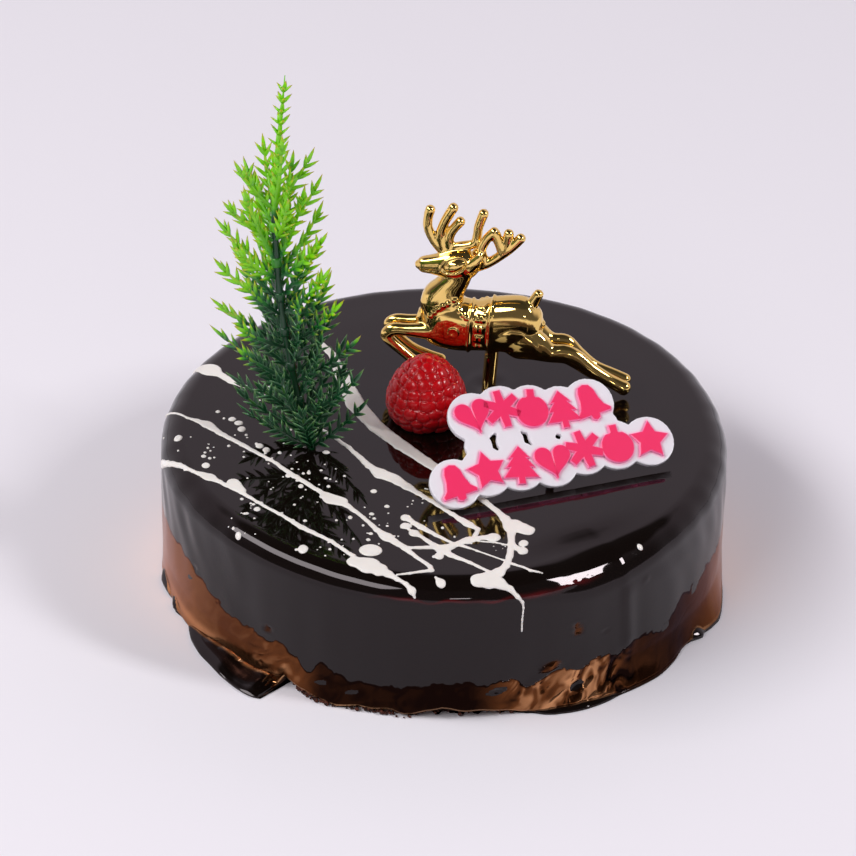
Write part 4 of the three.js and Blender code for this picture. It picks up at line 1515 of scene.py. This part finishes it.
    def build(self, material: Any) -> None:
        """Build the fir: the stem, the whorls and the spire.

        Args:
            material: the moulded plastic's material.
        """
        blade = self.needle()
        rod = self.stem()
        write_attribute(rod, "spray", smoothstep(74, 82, read_points(rod)[:, 2] - self.top))
        finish_piece(rod, "fir_stem", [material], "tree_stem", 60)
        for tier in range(self.tiers):
            piece = self.whorl(blade, tier)
            write_attribute(piece, "spray", self.spray(read_points(piece)))
            slot = "fir_dark" if tier < 3 else "fir_mid" if tier < 6 else "fir_light"
            finish_piece(piece, slot, [material], f"tree_tier_{tier + 1}", 70)
        tip = self.spire(blade)
        write_attribute(tip, "spray", 0.95)
        finish_piece(tip, "fir_light", [material], "tree_tip", 70)
        bpy.data.objects.remove(blade)


# ---- the reindeer


@dataclass
class Reindeer:
    """The gilt reindeer: rounded limbs melted together, then girth, eyes, ridges and post.

    Stations are along, up, half-depth across the limb and half-thickness; it looks towards -X.
    """

    pair: float = 2.6
    turn: float = -8.3
    post_radius: float = 2.0
    pick_depth: float = 10.0
    voxel: float = 0.34
    trunk: Limb = (
        (-19.2, 22, 3.6, 2.2), (-16.5, 21.3, 7.6, 4.4), (-10, 20.5, 8.3, 5.3),
        (-4, 20.4, 7.8, 5.3), (3, 21.6, 8.5, 5.3), (9.6, 22.4, 8.5, 5.2), (13, 22.6, 6.6, 4.5),
        (14.6, 22.8, 4.6, 3.3), (15.3, 22.8, 1.2, 1),
    )
    neck: Limb = (
        (-12.4, 22.5, 7.6, 4.4), (-13.8, 28, 6.8, 4), (-12.4, 32, 4.9, 3.4),
        (-10.1, 35.5, 3.7, 3.1), (-8.8, 39, 3.5, 3),
    )
    head: Limb = (
        (-3.9, 41.6, 2, 1.6), (-6.4, 41.1, 4.3, 2.9), (-10.6, 40.5, 4.5, 3.5),
        (-14.2, 40, 3.7, 2.9), (-18, 39.7, 2.7, 2.3), (-20.6, 39.4, 2.2, 1.9),
        (-21.6, 39.3, 1.2, 1.1),
    )
    upper_foreleg: Limb = (
        (-12, 18.8, 4.2, 2.4), (-18, 18.4, 2.7, 1.9), (-24, 18.2, 1.9, 1.6),
        (-28.4, 17.9, 1.9, 1.6), (-30.3, 16, 1.8, 1.5),
    )
    near_shin: Limb = (
        (-29.2, 14, 1.6, 1.4), (-24.2, 9.6, 1.4, 1.3), (-20.2, 6.4, 1.5, 1.4),
        (-18.2, 4.9, 1.8, 1.6),
    )
    far_shin: Limb = (
        (-28.2, 12.8, 1.6, 1.4), (-23.6, 9.2, 1.4, 1.3), (-18.6, 7.1, 1.4, 1.3),
        (-14.8, 5.6, 1.8, 1.6),
    )
    thigh: Limb = ((3, 19, 3.6, 1.6), (9, 18.4, 6, 2.7), (14, 16.9, 4.6, 2.9))
    near_shank: Limb = (
        (18.4, 14.8, 2.9, 2.4), (22.8, 14.8, 2.9, 2.1), (26.4, 13.1, 2.8, 2), (31, 9.8, 2.3, 1.8),
        (36, 7.1, 1.9, 1.7), (39.2, 5.5, 2, 1.9), (40.4, 4.9, 2.2, 1.9),
    )
    far_shank: Limb = (
        (18, 16, 2.3, 2), (22, 15.5, 2.6, 1.9), (25.6, 12.3, 2.2, 1.7), (30.7, 8.3, 1.9, 1.6),
        (36.7, 6, 1.8, 1.6), (40, 4.5, 2, 1.7),
    )
    tail: Limb = ((11.4, 27.8, 2, 1.7), (12.8, 30.6, 1.6, 1.5), (14, 33, 1.4, 1.4))
    ear: Limb = ((-6.4, 40.4, 1.4, 1.1), (-4.7, 42.9, 1.8, 1.2), (-3, 45.6, 0.9, 0.7))
    fore_antler: tuple[Guide, ...] = (
        ((-13.6, 42.8), (-16.9, 46.8), (-19, 51.3), (-19, 55), (-18.4, 57.6)),
        ((-13.6, 43), (-15.4, 48.4), (-14.4, 53.2), (-11.6, 58.9)),
        ((-12, 43.4), (-12.8, 47.6), (-11.9, 51), (-9.5, 54.5)),
        ((-13.4, 43.6), (-10.4, 45.8), (-5.6, 47.2), (-4.6, 49.8), (-4.2, 53.2), (-2.8, 57.8)),
    )
    rear_antler: tuple[Guide, ...] = (
        ((-7.4, 39.4), (-1.6, 42), (3.4, 46), (6.2, 48.8), (8.5, 51.8)),
        ((-1.6, 42), (-3, 46.4), (-1.5, 50.4), (0.8, 53.1)),
        ((3.2, 46), (2.2, 49), (1, 52.4)),
        ((3.6, 46.4), (4.3, 49.8), (4.9, 53)),
    )
    muscle_line: Guide = ((3, 7, 10, 13.7, 16.2, 18), (20.6, 22.4, 22.2, 19.6, 15.8, 14.6))
    beads: Guide = (
        (-17.4, 25.9), (-16.2, 27.3), (-15, 28.6), (-13.6, 29.7), (-12.1, 30.5), (-10.1, 31.6),
        (-9.3, 30), (-8.7, 28.6), (-7.6, 27.6), (-6.5, 26.8),
    )
    foot: Pair = (0.0, 0.0)
    top: float = CAKE_TOP

    def __post_init__(self) -> None:
        """Take the post's foot from the CAD node, whose far end is the hind hoof."""
        low, high = node_box("reindeer")
        middle = (low + high) / 2
        reach = radians(self.turn)
        self.foot = (float(middle[0]) - 5.3 * cos(reach), float(middle[1]) + 0.9)

    def tube(self, stations: Sequence[Row], aside: float, sides: int = 20,
             square: float = 1.0) -> Any:
        """Sweep an oval along stations, eased between them, with rounded ends.

        Args:
            stations: along, up, half-depth and half-thickness of each.
            aside: how far the limb is set aside from the figure's plane.
            sides: points round the oval.
            square: less than one for flatter flanks.

        Returns:
            The limb, closed.
        """
        rows = np.array(stations, dtype=float)
        places = np.linspace(0, len(rows) - 1, 5 * (len(rows) - 1) + 1)
        eased = []
        for place in places:
            i = min(int(place), len(rows) - 2)
            t = place - i
            p0, p1 = rows[max(i - 1, 0)], rows[i]
            p2, p3 = rows[i + 1], rows[min(i + 2, len(rows) - 1)]
            cubic = 2 * p1 + (p2 - p0) * t + (2 * p0 - 5 * p1 + 4 * p2 - p3) * t * t
            cubic = cubic + (3 * p1 - p0 - 3 * p2 + p3) * t**3
            eased.append(0.5 * cubic)
        caps = []
        for row, inner in ((eased[0], eased[1]), (eased[-1], eased[-2])):
            away = row[:2] - inner[:2]
            step = 0.8 * row[2] * away / max(np.linalg.norm(away), 1e-6)
            caps.append([np.concatenate([row[:2] + share * step, row[2:] * sqrt(1 - share**2)])
                         for share in (0.5, 0.85)])
        path = np.array([*reversed(caps[0]), *eased, *caps[1]])
        points, faces = [], []
        for i, (along, up, half, thick) in enumerate(path):
            ahead = path[min(i + 1, len(path) - 1), :2] - path[max(i - 1, 0), :2]
            ahead = ahead / max(np.linalg.norm(ahead), 1e-6)
            for side in range(sides):
                t = 2 * pi * side / sides
                across = half * copysign(abs(cos(t)) ** square, cos(t))
                beside = thick * copysign(abs(sin(t)) ** square, sin(t))
                points.append((along - ahead[1] * across, aside - beside, up + ahead[0] * across))
        for ring in range(len(path) - 1):
            for side in range(sides):
                a = ring * sides + side
                b = ring * sides + (side + 1) % sides
                faces.append((a, b, b + sides, a + sides))
        faces.append(tuple(reversed(range(sides))))
        faces.append(tuple((len(path) - 1) * sides + side for side in range(sides)))
        return mesh_object("limb", np.array(points), faces)

    def horn(self, line: Sequence[Pair], aside: float) -> Any:
        """A round antler branch with a swollen, blunt tip.

        Args:
            line: along and up of each point of the branch.
            aside: how far it is set aside from the figure's plane.

        Returns:
            The branch, closed.
        """
        stations = [(x, z, 1.32, 1.32) for x, z in line[:-1]]
        stations.append((*line[-1], 1.42, 1.42))
        return self.tube(stations, aside, 14)

    def melt(self, limbs: Sequence[Any]) -> Any:
        """Melt the limbs into one skin, as the mould's one cavity does.

        Args:
            limbs: the limbs, which are used up.

        Returns:
            The figure.
        """
        figure = join_objects(limbs, "reindeer_gilt")
        apply_modifier(figure, "REMESH", mode="VOXEL", voxel_size=self.voxel * MM)
        apply_modifier(figure, "SMOOTH", factor=0.5, iterations=5)
        write_points(figure, read_points(figure) + 0.14 * read_normals(figure))
        return figure

    def relief(self, figure: Any) -> None:
        """Raise and sink the moulded detail: girth, collar beads, thigh ridge, eyes and mouth.

        Args:
            figure: the melted figure.
        """
        points = read_points(figure)
        normals = read_normals(figure)
        u, z = points[:, 0], points[:, 2]
        beside = np.abs(normals[:, 1])
        flank = smoothstep(0.25, 0.6, beside)
        moved = np.zeros(len(points))

        def band(value: Any, centre: float, half: float, soft: float = 0.25) -> Any:
            """One inside a band, falling off softly."""
            return smoothstep(half + soft, half - soft, np.abs(value - centre))

        # the girth: two rails and a row of blocks
        body = smoothstep(10.5, 12, z) * smoothstep(31.5, 30, z)
        lean = u - 0.05 * (z - 20)
        moved += 0.5 * body * (band(lean, -5.7, 0.4) + band(lean, 0.3, 0.4))
        moved -= 0.15 * body * band(lean, -2.6, 2.4)
        for row in range(5):
            block = band(lean, -2.7, 1.3, 0.3) * band(z, 15.6 + 3.3 * row, 0.95, 0.3)
            moved += 0.5 * flank * block * (1 - 0.6 * bell(lean, 0.25, -2.7))
        muscle = np.interp(u, *self.muscle_line)
        thigh = smoothstep(0.1, 0.4, beside) * smoothstep(0.6, -0.6, z - muscle)
        moved += 0.35 * thigh * band(u, 10.2, 6.0, 2.6)
        for bead_u, bead_z in self.beads:
            away = np.hypot(u - bead_u, z - bead_z + 1.4)
            moved += 0.45 * flank * smoothstep(0.95, 0.3, away)
        # a roundel on the shoulder, then the eye and the mouth
        knot = np.hypot((u + 10.2) / 1.2, (z - 20.2) / 1.3)
        moved += 0.3 * flank * bell(knot, 0.35, 1)
        eye = np.hypot((u + 10.6) / 3.3, (z - 41.5 - 0.3 * (u + 10.6)) / 2.1)
        moved += flank * 0.8 * smoothstep(1.0, 0.35, eye)
        moved += flank * (0.4 * bell(eye, 0.13, 1.2) - 0.35 * bell(eye, 0.09, 1))
        mouth = bell(z - 0.1 * (u + 18), 0.3, 38.7) * band(u, -18.4, 2.4, 0.6)
        moved -= 0.4 * mouth * smoothstep(0.2, 0.5, beside)
        write_points(figure, points + normals * moved[:, None])

    def build(self, material: Any) -> None:
        """Build the reindeer on its post.

        Args:
            material: the gold's material.
        """
        near, far = -self.pair, self.pair
        post = [(0.0, -self.pick_depth, 1.5, 1.5), (0.0, 0.0, 1.9, 1.9), (0.4, 8.0, 2.0, 2.0),
                (0.9, 16.0, self.post_radius, self.post_radius)]
        limbs = [
            self.tube(self.trunk, 0.0, 32, 0.8), self.tube(self.neck, 0.0, 28, 0.72),
            self.tube(self.head, 0.0, 28, 0.85), self.tube(self.tail, 0.0, 14),
            self.tube(self.ear, -2.6, 12), self.tube(self.ear, 2.6, 12), self.tube(post, 0.0, 16),
            self.tube([*self.upper_foreleg, *self.near_shin], near),
            self.tube([*self.upper_foreleg, *self.far_shin], far),
            self.tube([*self.thigh, *self.near_shank], near),
            self.tube([*self.thigh, *self.far_shank], far),
            *(self.horn(line, 1.0) for line in self.fore_antler),
            *(self.horn(line, -1.0) for line in self.rear_antler),
        ]
        figure = self.melt(limbs)
        self.relief(figure)
        apply_modifier(figure, "SMOOTH", factor=0.35, iterations=1)
        x, y = self.foot
        figure.data.transform(
            Matrix.Translation((x * MM, y * MM, self.top * MM))
            @ Matrix.Rotation(radians(self.turn), 4, "Z"))
        finish_piece(figure, "gilt", [material], "reindeer")


# ---- the raspberry


@dataclass
class Raspberry:
    """One raspberry, open end down: a dome packed with drupelets."""

    radius: float = 11.7
    cut: float = 0.82
    widest: float = 0.3
    relief: float = 0.75
    rows: int = 9
    around: int = 19
    centre: tuple[float, float, float] = (0.0, 0.0, 0.0)
    height: float = 20.0

    def __post_init__(self) -> None:
        """Take the berry's place and height from the CAD node."""
        low, high = node_box("raspberry")
        middle = (low + high) / 2
        self.centre = (float(middle[0]), float(middle[1]), float(low[2]))
        self.height = float(high[2] - low[2])

    def radius_at(self, share: Any) -> Any:
        """The berry's plain radius at a share of its height."""
        low = self.radius * (1 - 0.14 * (1 - np.minimum(share / self.widest, 1)) ** 2)
        up = np.clip((share - self.widest) / (1 - self.widest), 0, 1)
        return np.where(share < self.widest, low, self.radius * (1 - up**1.7) ** 0.6)

    def drupelets(self) -> Points:
        """Where the drupelets sit, row by row, each row half a step on.

        Returns:
            The centre of each and its size.
        """
        chance = random.Random(3)
        profile_share = np.sin(np.linspace(0, pi / 2, 400))
        profile = np.stack([self.radius_at(profile_share), profile_share * self.height], axis=-1)
        run = np.concatenate([[0], np.cumsum(np.linalg.norm(np.diff(profile, axis=0), axis=1))])
        centres = []
        for row in range(self.rows):
            place = run[-1] * (row + 0.35) / (self.rows - 0.3)
            r = float(np.interp(place, run, profile[:, 0]))
            z = float(np.interp(place, run, profile[:, 1]))
            count = max(1, round(self.around * r / self.radius))
            for number in range(count):
                step = number + 0.5 * (row % 2) + chance.uniform(-0.24, 0.24)
                turn = 2 * pi * step / count
                rise = chance.uniform(-0.7, 0.7)
                size = chance.uniform(0.84, 1.16)
                centres.append((r * cos(turn), r * sin(turn), z + rise, size))
        return np.array(centres)

    def build(self, material: Any) -> None:
        """Build the berry.

        Args:
            material: the skin's material.
        """
        deselect_all()
        bpy.ops.mesh.primitive_ico_sphere_add(subdivisions=7, radius=MM)
        berry = adopt("raspberry_fresh")
        unit = read_points(berry)
        level = unit[:, 2]
        lower = level < -self.cut
        share = np.clip((level + self.cut) / (1 + self.cut), 0, 1) ** 0.9
        plain = self.radius_at(share)
        flat = np.hypot(unit[:, 0], unit[:, 1])
        under = np.clip(flat / sqrt(1 - self.cut**2), 0, 1)
        radius = np.where(lower, plain * under, plain)
        scale = radius / np.maximum(flat, 1e-6)
        z = share * self.height + np.where(lower, 0.5 * (1 - under), 0.0)
        base = np.stack([scale * unit[:, 0], scale * unit[:, 1], z], -1)
        best = np.full(len(base), 99.0)
        second = np.full(len(base), 99.0)
        over = np.zeros(len(base))
        for *centre, size in self.drupelets():
            away = np.linalg.norm((base - centre) * (1.0, 1.0, 1.05), axis=1) / size
            second = np.where(away < best, best, np.minimum(second, away))
            over = np.where(away < best, (base[:, 2] - centre[2]) / size, over)
            best = np.minimum(best, away)
        groove = bell(second - best, 0.55)
        bulge = self.relief * np.sqrt(1 - 0.96 * np.clip(best / 2.35, 0, 1) ** 2)
        bulge += 0.14 * np.clip(over, -1.6, 1.6) - 0.1 * groove
        bulge = np.where(lower, -0.2, bulge)
        out = base - (0, 0, 0.42 * self.height)
        out = out / np.linalg.norm(out, axis=1, keepdims=True)
        points = base + out * (bulge - 0.5)[:, None]
        points[:, 2] = np.clip(points[:, 2], 0.0, self.height)
        # painted shade: darker red in the grooves between drupelets and over the lowest 9 mm
        crease_and_underside_shade = 0.35 * groove**3 + 0.6 * smoothstep(9, 0, base[:, 2])
        write_attribute(berry, "crease_and_underside_shade", np.clip(crease_and_underside_shade, 0, 1))
        write_points(berry, points + np.array(self.centre))
        finish_piece(berry, "berry", [material], "raspberry")


# ---- the plaque


class Motif(Enum):
    """The raised motifs, each an outline that fits a circle of radius one."""

    STAR = "star"
    SNOWFLAKE = "snowflake"
    BAUBLE = "bauble"
    HEART = "heart"
    BELL = "bell"
    FIR = "fir"

    def outline(self) -> Points:
        """The motif's outline.

        Returns:
            Its points, counterclockwise.
        """
        t = np.linspace(0, 2 * pi, 96, endpoint=False)

        def polar(turn: Any, size: Any) -> Points:
            """Points at some radians and distances from the middle."""
            return np.stack([size * np.cos(turn), size * np.sin(turn)], -1)

        if self is Motif.STAR:
            return polar(np.radians(90 + 36 * np.arange(10)), np.array([1.04, 0.56] * 5))
        if self is Motif.SNOWFLAKE:
            turns = np.radians([60 * arm + aside for arm in range(6) for aside in (78, 102, 120)])
            return polar(turns, np.array([1, 1, 0.5] * 6))
        if self is Motif.BAUBLE:
            ball = polar(t, 0.84) - (0, 0.16)
            cap = ball[:, 1] > 0.58
            ball[cap, 0] = np.clip(ball[cap, 0], -0.22, 0.22)
            ball[cap, 1] = np.where(np.abs(ball[cap, 0]) >= 0.22, 0.58, 1.0)
            return ball
        if self is Motif.HEART:
            x = 16 * np.sin(t) ** 3
            y = 13 * np.cos(t) - 5 * np.cos(2 * t) - 2 * np.cos(3 * t) - np.cos(4 * t)
            return np.stack([-x, y], -1) / 17.0 + (0, 0.08)
        if self is Motif.BELL:
            right = np.array([(0, 0.95), (0.3, 0.85), (0.46, 0.55), (0.52, 0.1), (0.66, -0.3),
                              (0.92, -0.55), (0.88, -0.72), (0.26, -0.72), (0.2, -0.92), (0, -1)])
            left = right[1:-1][::-1] * (-1, 1)
            return np.concatenate([right, left])[::-1]
        half = np.array([(0.2, -1.0), (0.2, -0.68), (0.92, -0.68), (0.52, -0.14), (0.76, -0.14),
                         (0.38, 0.34), (0.56, 0.34)])
        return np.concatenate([half, [(0, 1)], half[::-1] * (-1, 1)])


@dataclass
class Plaque:
    """The plaque: joined round plates with a rolled edge, raised pink motifs and a prong."""

    at: Pair = (20.3, -38.2)
    turn: float = 20.0
    tilt: float = 37.0
    thickness: float = 1.8
    relief: float = 1.0
    motif_size: float = 5.9
    margin: float = 1.7
    gap: float = 0.3
    lower: tuple[Motif, ...] = (
        Motif.BELL, Motif.STAR, Motif.FIR, Motif.HEART, Motif.SNOWFLAKE, Motif.BAUBLE, Motif.STAR,
    )
    upper: tuple[Motif, ...] = (Motif.HEART, Motif.SNOWFLAKE, Motif.BAUBLE, Motif.FIR, Motif.BELL)
    lower_run: Row = (-17.0, 9.95, 7.7, 0.035)
    upper_run: Row = (-6.4, 8.7, 26.3, -0.1)
    prong: Pair = (13.0, 10.0)
    pick_depth: float = 10.0
    top: float = CAKE_TOP

    def matrix(self) -> Matrix:
        """The plaque's own axes: x along it, y up its slope, z out of its face."""
        place = Matrix.Translation((self.at[0] * MM, self.at[1] * MM, (self.top + self.gap) * MM))
        turned = Matrix.Rotation(radians(self.turn), 4, "Z")
        return place @ turned @ Matrix.Rotation(radians(self.tilt), 4, "X")

    def places(self) -> list[tuple[Motif, float, float, float]]:
        """Where the motifs stand on the plate.

        Returns:
            Each motif with its place and its spin in radians.
        """
        found = []
        for run, motifs in ((self.lower_run, self.lower), (self.upper_run, self.upper)):
            start, pitch, level, climb = run
            for i, motif in enumerate(motifs):
                x = start + i * pitch
                y = level + climb * (x - start) - 0.9 * cos(2.1 * i + 0.3)
                found.append((motif, x, y, radians(9 * sin(1.7 * i + 1))))
        return found

    def plate(self) -> Any:
        """The white plate: discs melted together and smoothed, with a rolled edge.

        Returns:
            The plate, lying flat.
        """
        discs = [(x, y, self.motif_size + self.margin - 0.1) for _, x, y, _ in self.places()]
        discs += [(12 + (i - 2) * 9.6, 16.6, 4.1) for i in range(5)]
        pieces = []
        for x, y, radius in discs:
            deselect_all()
            bpy.ops.mesh.primitive_cylinder_add(
                vertices=48, radius=radius * MM, depth=self.thickness * MM,
                location=(x * MM, y * MM, self.thickness / 2 * MM))
            pieces.append(adopt("plate"))
        for piece in pieces:
            bake_place(piece)
        plate = join_objects(pieces, "plaque_plate")
        apply_modifier(plate, "REMESH", mode="VOXEL", voxel_size=0.3 * MM)
        apply_modifier(plate, "SMOOTH", factor=0.5, iterations=4)
        return plate

    def raised(self, motif: Motif, x: float, y: float, spin: float) -> Any:
        """One raised motif with a narrowed, rounded face.

        Args:
            motif: which motif.
            x: its place along the plate.
            y: its place up the plate.
            spin: its turn in radians.

        Returns:
            The motif, lying flat.
        """
        outline = motif.outline()
        deselect_all()
        bpy.ops.mesh.primitive_circle_add(vertices=len(outline), radius=MM, fill_type="NGON")
        shape = adopt("motif")
        write_points(shape, np.pad(outline * self.motif_size, ((0, 0), (0, 1))))
        edit_all(shape)
        bpy.ops.mesh.normals_make_consistent(inside=False)
        depth = (self.thickness / 2 + self.relief - 0.25) * MM
        bpy.ops.mesh.extrude_region_move(TRANSFORM_OT_translate={"value": (0, 0, depth)})
        bpy.ops.mesh.inset(thickness=0.35 * MM, depth=0.25 * MM)
        end_edit()
        face_outwards(shape)
        points = read_points(shape)
        crest = points[:, 2].max()
        # the motif's sides, below its face, take a lighter pink
        write_attribute(shape, "pink_edge_tint", smoothstep(crest - 0.05, crest - 0.3, points[:, 2]))
        shape.data.transform(
            Matrix.Translation((x * MM, y * MM, self.thickness / 2 * MM))
            @ Matrix.Rotation(spin, 4, "Z"))
        return shape

    def build(self, white: Any, pink: Any) -> None:
        """Build the plaque: the plate with its prong, and the motifs.

        Args:
            white: the plate's material.
            pink: the motifs' material.
        """
        plate = self.plate()
        points = read_points(plate)
        near = np.full(len(points), 9.0)
        for motif, x, y, spin in self.places():
            outline = motif.outline() * self.motif_size
            turned = outline @ np.array([[cos(spin), sin(spin)],
                                         [-sin(spin), cos(spin)]]) + (x, y)
            for start, end in zip(turned, np.roll(turned, -1, axis=0)):
                run = end - start
                share = np.clip(((points[:, :2] - start) @ run) / max(run @ run, 1e-9), 0, 1)
                away = np.linalg.norm(points[:, :2] - start - share[:, None] * run, axis=1)
                near = np.minimum(near, away)
        # the plate's upper face takes a pale pink tint near the motifs
        pink_near_motifs = smoothstep(1.0, 0.1, near) * smoothstep(0.6, 0.9, points[:, 2] / self.thickness)
        write_attribute(plate, "pink_edge_tint", 0.8 * pink_near_motifs)
        plate.data.transform(self.matrix())
        foot = self.matrix() @ (Vector((*self.prong, self.thickness / 2)) * MM)
        low = (self.top - self.pick_depth) * MM
        deselect_all()
        bpy.ops.mesh.primitive_cone_add(
            vertices=20, radius1=0.7 * MM, radius2=1.3 * MM, depth=foot.z - low,
            location=(foot.x, foot.y, (foot.z + low) / 2))
        prong = adopt("prong")
        bake_place(prong)
        plate = join_objects([plate, prong], "plaque_plate")
        finish_piece(plate, "plaque", [white], "plaque", 60)
        shapes = [self.raised(*place) for place in self.places()]
        motifs = join_objects(shapes, "plaque_motifs")
        motifs.data.transform(self.matrix())
        finish_piece(motifs, "plaque", [pink], angle=35)


# ---- the studio


@dataclass
class Studio:
    """A plain pale floor, soft studio light and the camera."""

    target: tuple[float, float, float] = (-0.0052, 0.0688, 0.0)
    distance: float = 1.394
    elevation: float = 32.78
    roll: float = 0.92
    lens: float = 189.25
    floor_size: float = 7.0
    floor_colour: str = "ebe7ee"
    light_distance: float = 2.4

    def camera(self) -> None:
        """Place the camera."""
        pitch, roll = radians(self.elevation), radians(self.roll)
        back = Vector((0, -cos(pitch), sin(pitch)))
        level = Vector((1, 0, 0))
        rise = back.cross(level)
        right = cos(roll) * level + sin(roll) * rise
        up = -sin(roll) * level + cos(roll) * rise
        data = bpy.data.cameras.new("studio_camera")
        data.lens = self.lens
        camera = bpy.data.objects.new("studio_camera", data)
        bpy.context.collection.objects.link(camera)
        place = Vector(self.target) + self.distance * back
        turn = Matrix((right, up, back)).transposed().to_4x4()
        camera.matrix_world = Matrix.Translation(place) @ turn
        bpy.context.scene.camera = camera

    def floor(self) -> None:
        """Lay the floor just under the part."""
        deselect_all()
        bpy.ops.mesh.primitive_plane_add(size=self.floor_size, location=(0, 0, -0.0002))
        floor = adopt("studio_floor")
        material, _, shader = new_material("matt_paper_floor")
        set_inputs(shader, {
            "Base Color": self.floor_colour, "Roughness": 0.9, "Specular IOR Level": 0.1})
        floor.data.materials.append(material)

    def softbox(self, name: str, toward: tuple[float, float, float], size: Pair,
                power: float, roll: float = 0.0) -> None:
        """Hang one softbox.

        Args:
            name: the light's name.
            toward: direction from the part to the light.
            size: its width and height in metres.
            power: its power in watts.
            roll: its turn about its own axis in degrees.
        """
        data = bpy.data.lights.new(name, "AREA")
        data.shape = "RECTANGLE"
        data.size, data.size_y = size
        data.energy = power
        lamp = bpy.data.objects.new(name, data)
        bpy.context.collection.objects.link(lamp)
        direction = Vector(toward).normalized()
        lamp.location = direction * self.light_distance + Vector((0, 0, 0.045))
        turn = direction.to_track_quat("Z", "Y").to_matrix()
        turn = turn @ Matrix.Rotation(radians(roll), 3, "Z")
        lamp.rotation_euler = turn.to_euler()

    def world(self) -> None:
        """Set a pale backdrop that dims overhead and behind the camera."""
        world = bpy.data.worlds.new("studio_world")
        bpy.context.scene.world = world
        world.use_nodes = True
        tree = world.node_tree
        tree.nodes.clear()
        place = add_node(tree, "TexCoord").outputs["Generated"]
        axes = add_node(tree, "SeparateXYZ", {0: place})
        height = add_node(tree, "ValToRGB", {"Fac": axes.outputs["Z"]}, {
            0.0: (0.78, 0.72, 0.78, 1), 0.7: (0.64, 0.56, 0.62, 1), 0.78: (0.08, 0.08, 0.085, 1),
            1.0: (0.03, 0.03, 0.035, 1)})
        behind = add_node(
            tree, "MapRange",
            {"Value": axes.outputs["Y"], "From Min": -0.3, "From Max": 0.4, "To Min": 0.1},
            interpolation_type="SMOOTHSTEP")
        low = add_node(tree, "MapRange", {
            "Value": axes.outputs["Z"], "From Min": -0.02, "From Max": 0.04, "To Min": 1.0,
            "To Max": 0.0})
        share = add_node(tree, "Math", {0: behind, 1: low}, operation="MAXIMUM")
        shade = add_node(
            tree, "Mix", {0: share, 6: (0.05, 0.05, 0.055, 1), 7: height}, data_type="RGBA")
        background = add_node(tree, "Background", {"Color": shade})
        add_node(tree, "OutputWorld", {"Surface": background})

    def build(self) -> None:
        """Build the studio."""
        bpy.context.scene.view_settings.view_transform = "Standard"
        self.camera()
        self.floor()
        self.world()
        self.softbox("softbox_left", (-0.58, -0.3, 0.65), (2.8, 0.75), 52.0)
        self.softbox("softbox_right", (0.72, -0.25, 0.6), (0.3, 0.75), 25.0, roll=-16.0)
        self.softbox("window_front", (0.11, -0.97, 0.2), (0.3, 0.14), 1.6)


def main() -> None:
    """Build the studio and each piece in order, and report them."""
    logging.basicConfig(level=logging.INFO, format="%(name)s %(message)s")
    Studio().build()
    cake = GlazedCake()
    tree = FirTree()
    deer = Reindeer()
    plaque = Plaque()
    foot = plaque.matrix() @ (Vector((*plaque.prong, plaque.thickness / 2)) * MM)
    cake.pick_wells = [(*tree.foot, 2.2), (*deer.foot, 2.8), (foot.x / MM, foot.y / MM, 1.8)]
    sponge = ChocolateSponge().build()
    cake.build(PouredMirrorGlaze().build(), sponge)
    cake.build_crumbs(ChocolateSponge("chocolate_crumbs_torn", "5f2c1c", "1a0905").build())
    Drizzle(cake).build(WhiteGlazeDrizzle().build())
    tree.build(MouldedFirPolyethylene().build())
    deer.build(MetallisedGold().build())
    Raspberry().build(RaspberrySkin().build())
    plaque.build(
        MouldedPlaquePlastic("polystyrene_white_moulded", "e8e3ea", "f3b7cf", 0.22).build(),
        MouldedPlaquePlastic("polystyrene_pink_printed", "f21c60", "ff8cc0", 0.42).build(),
    )


if __name__ == "__main__":
    main()
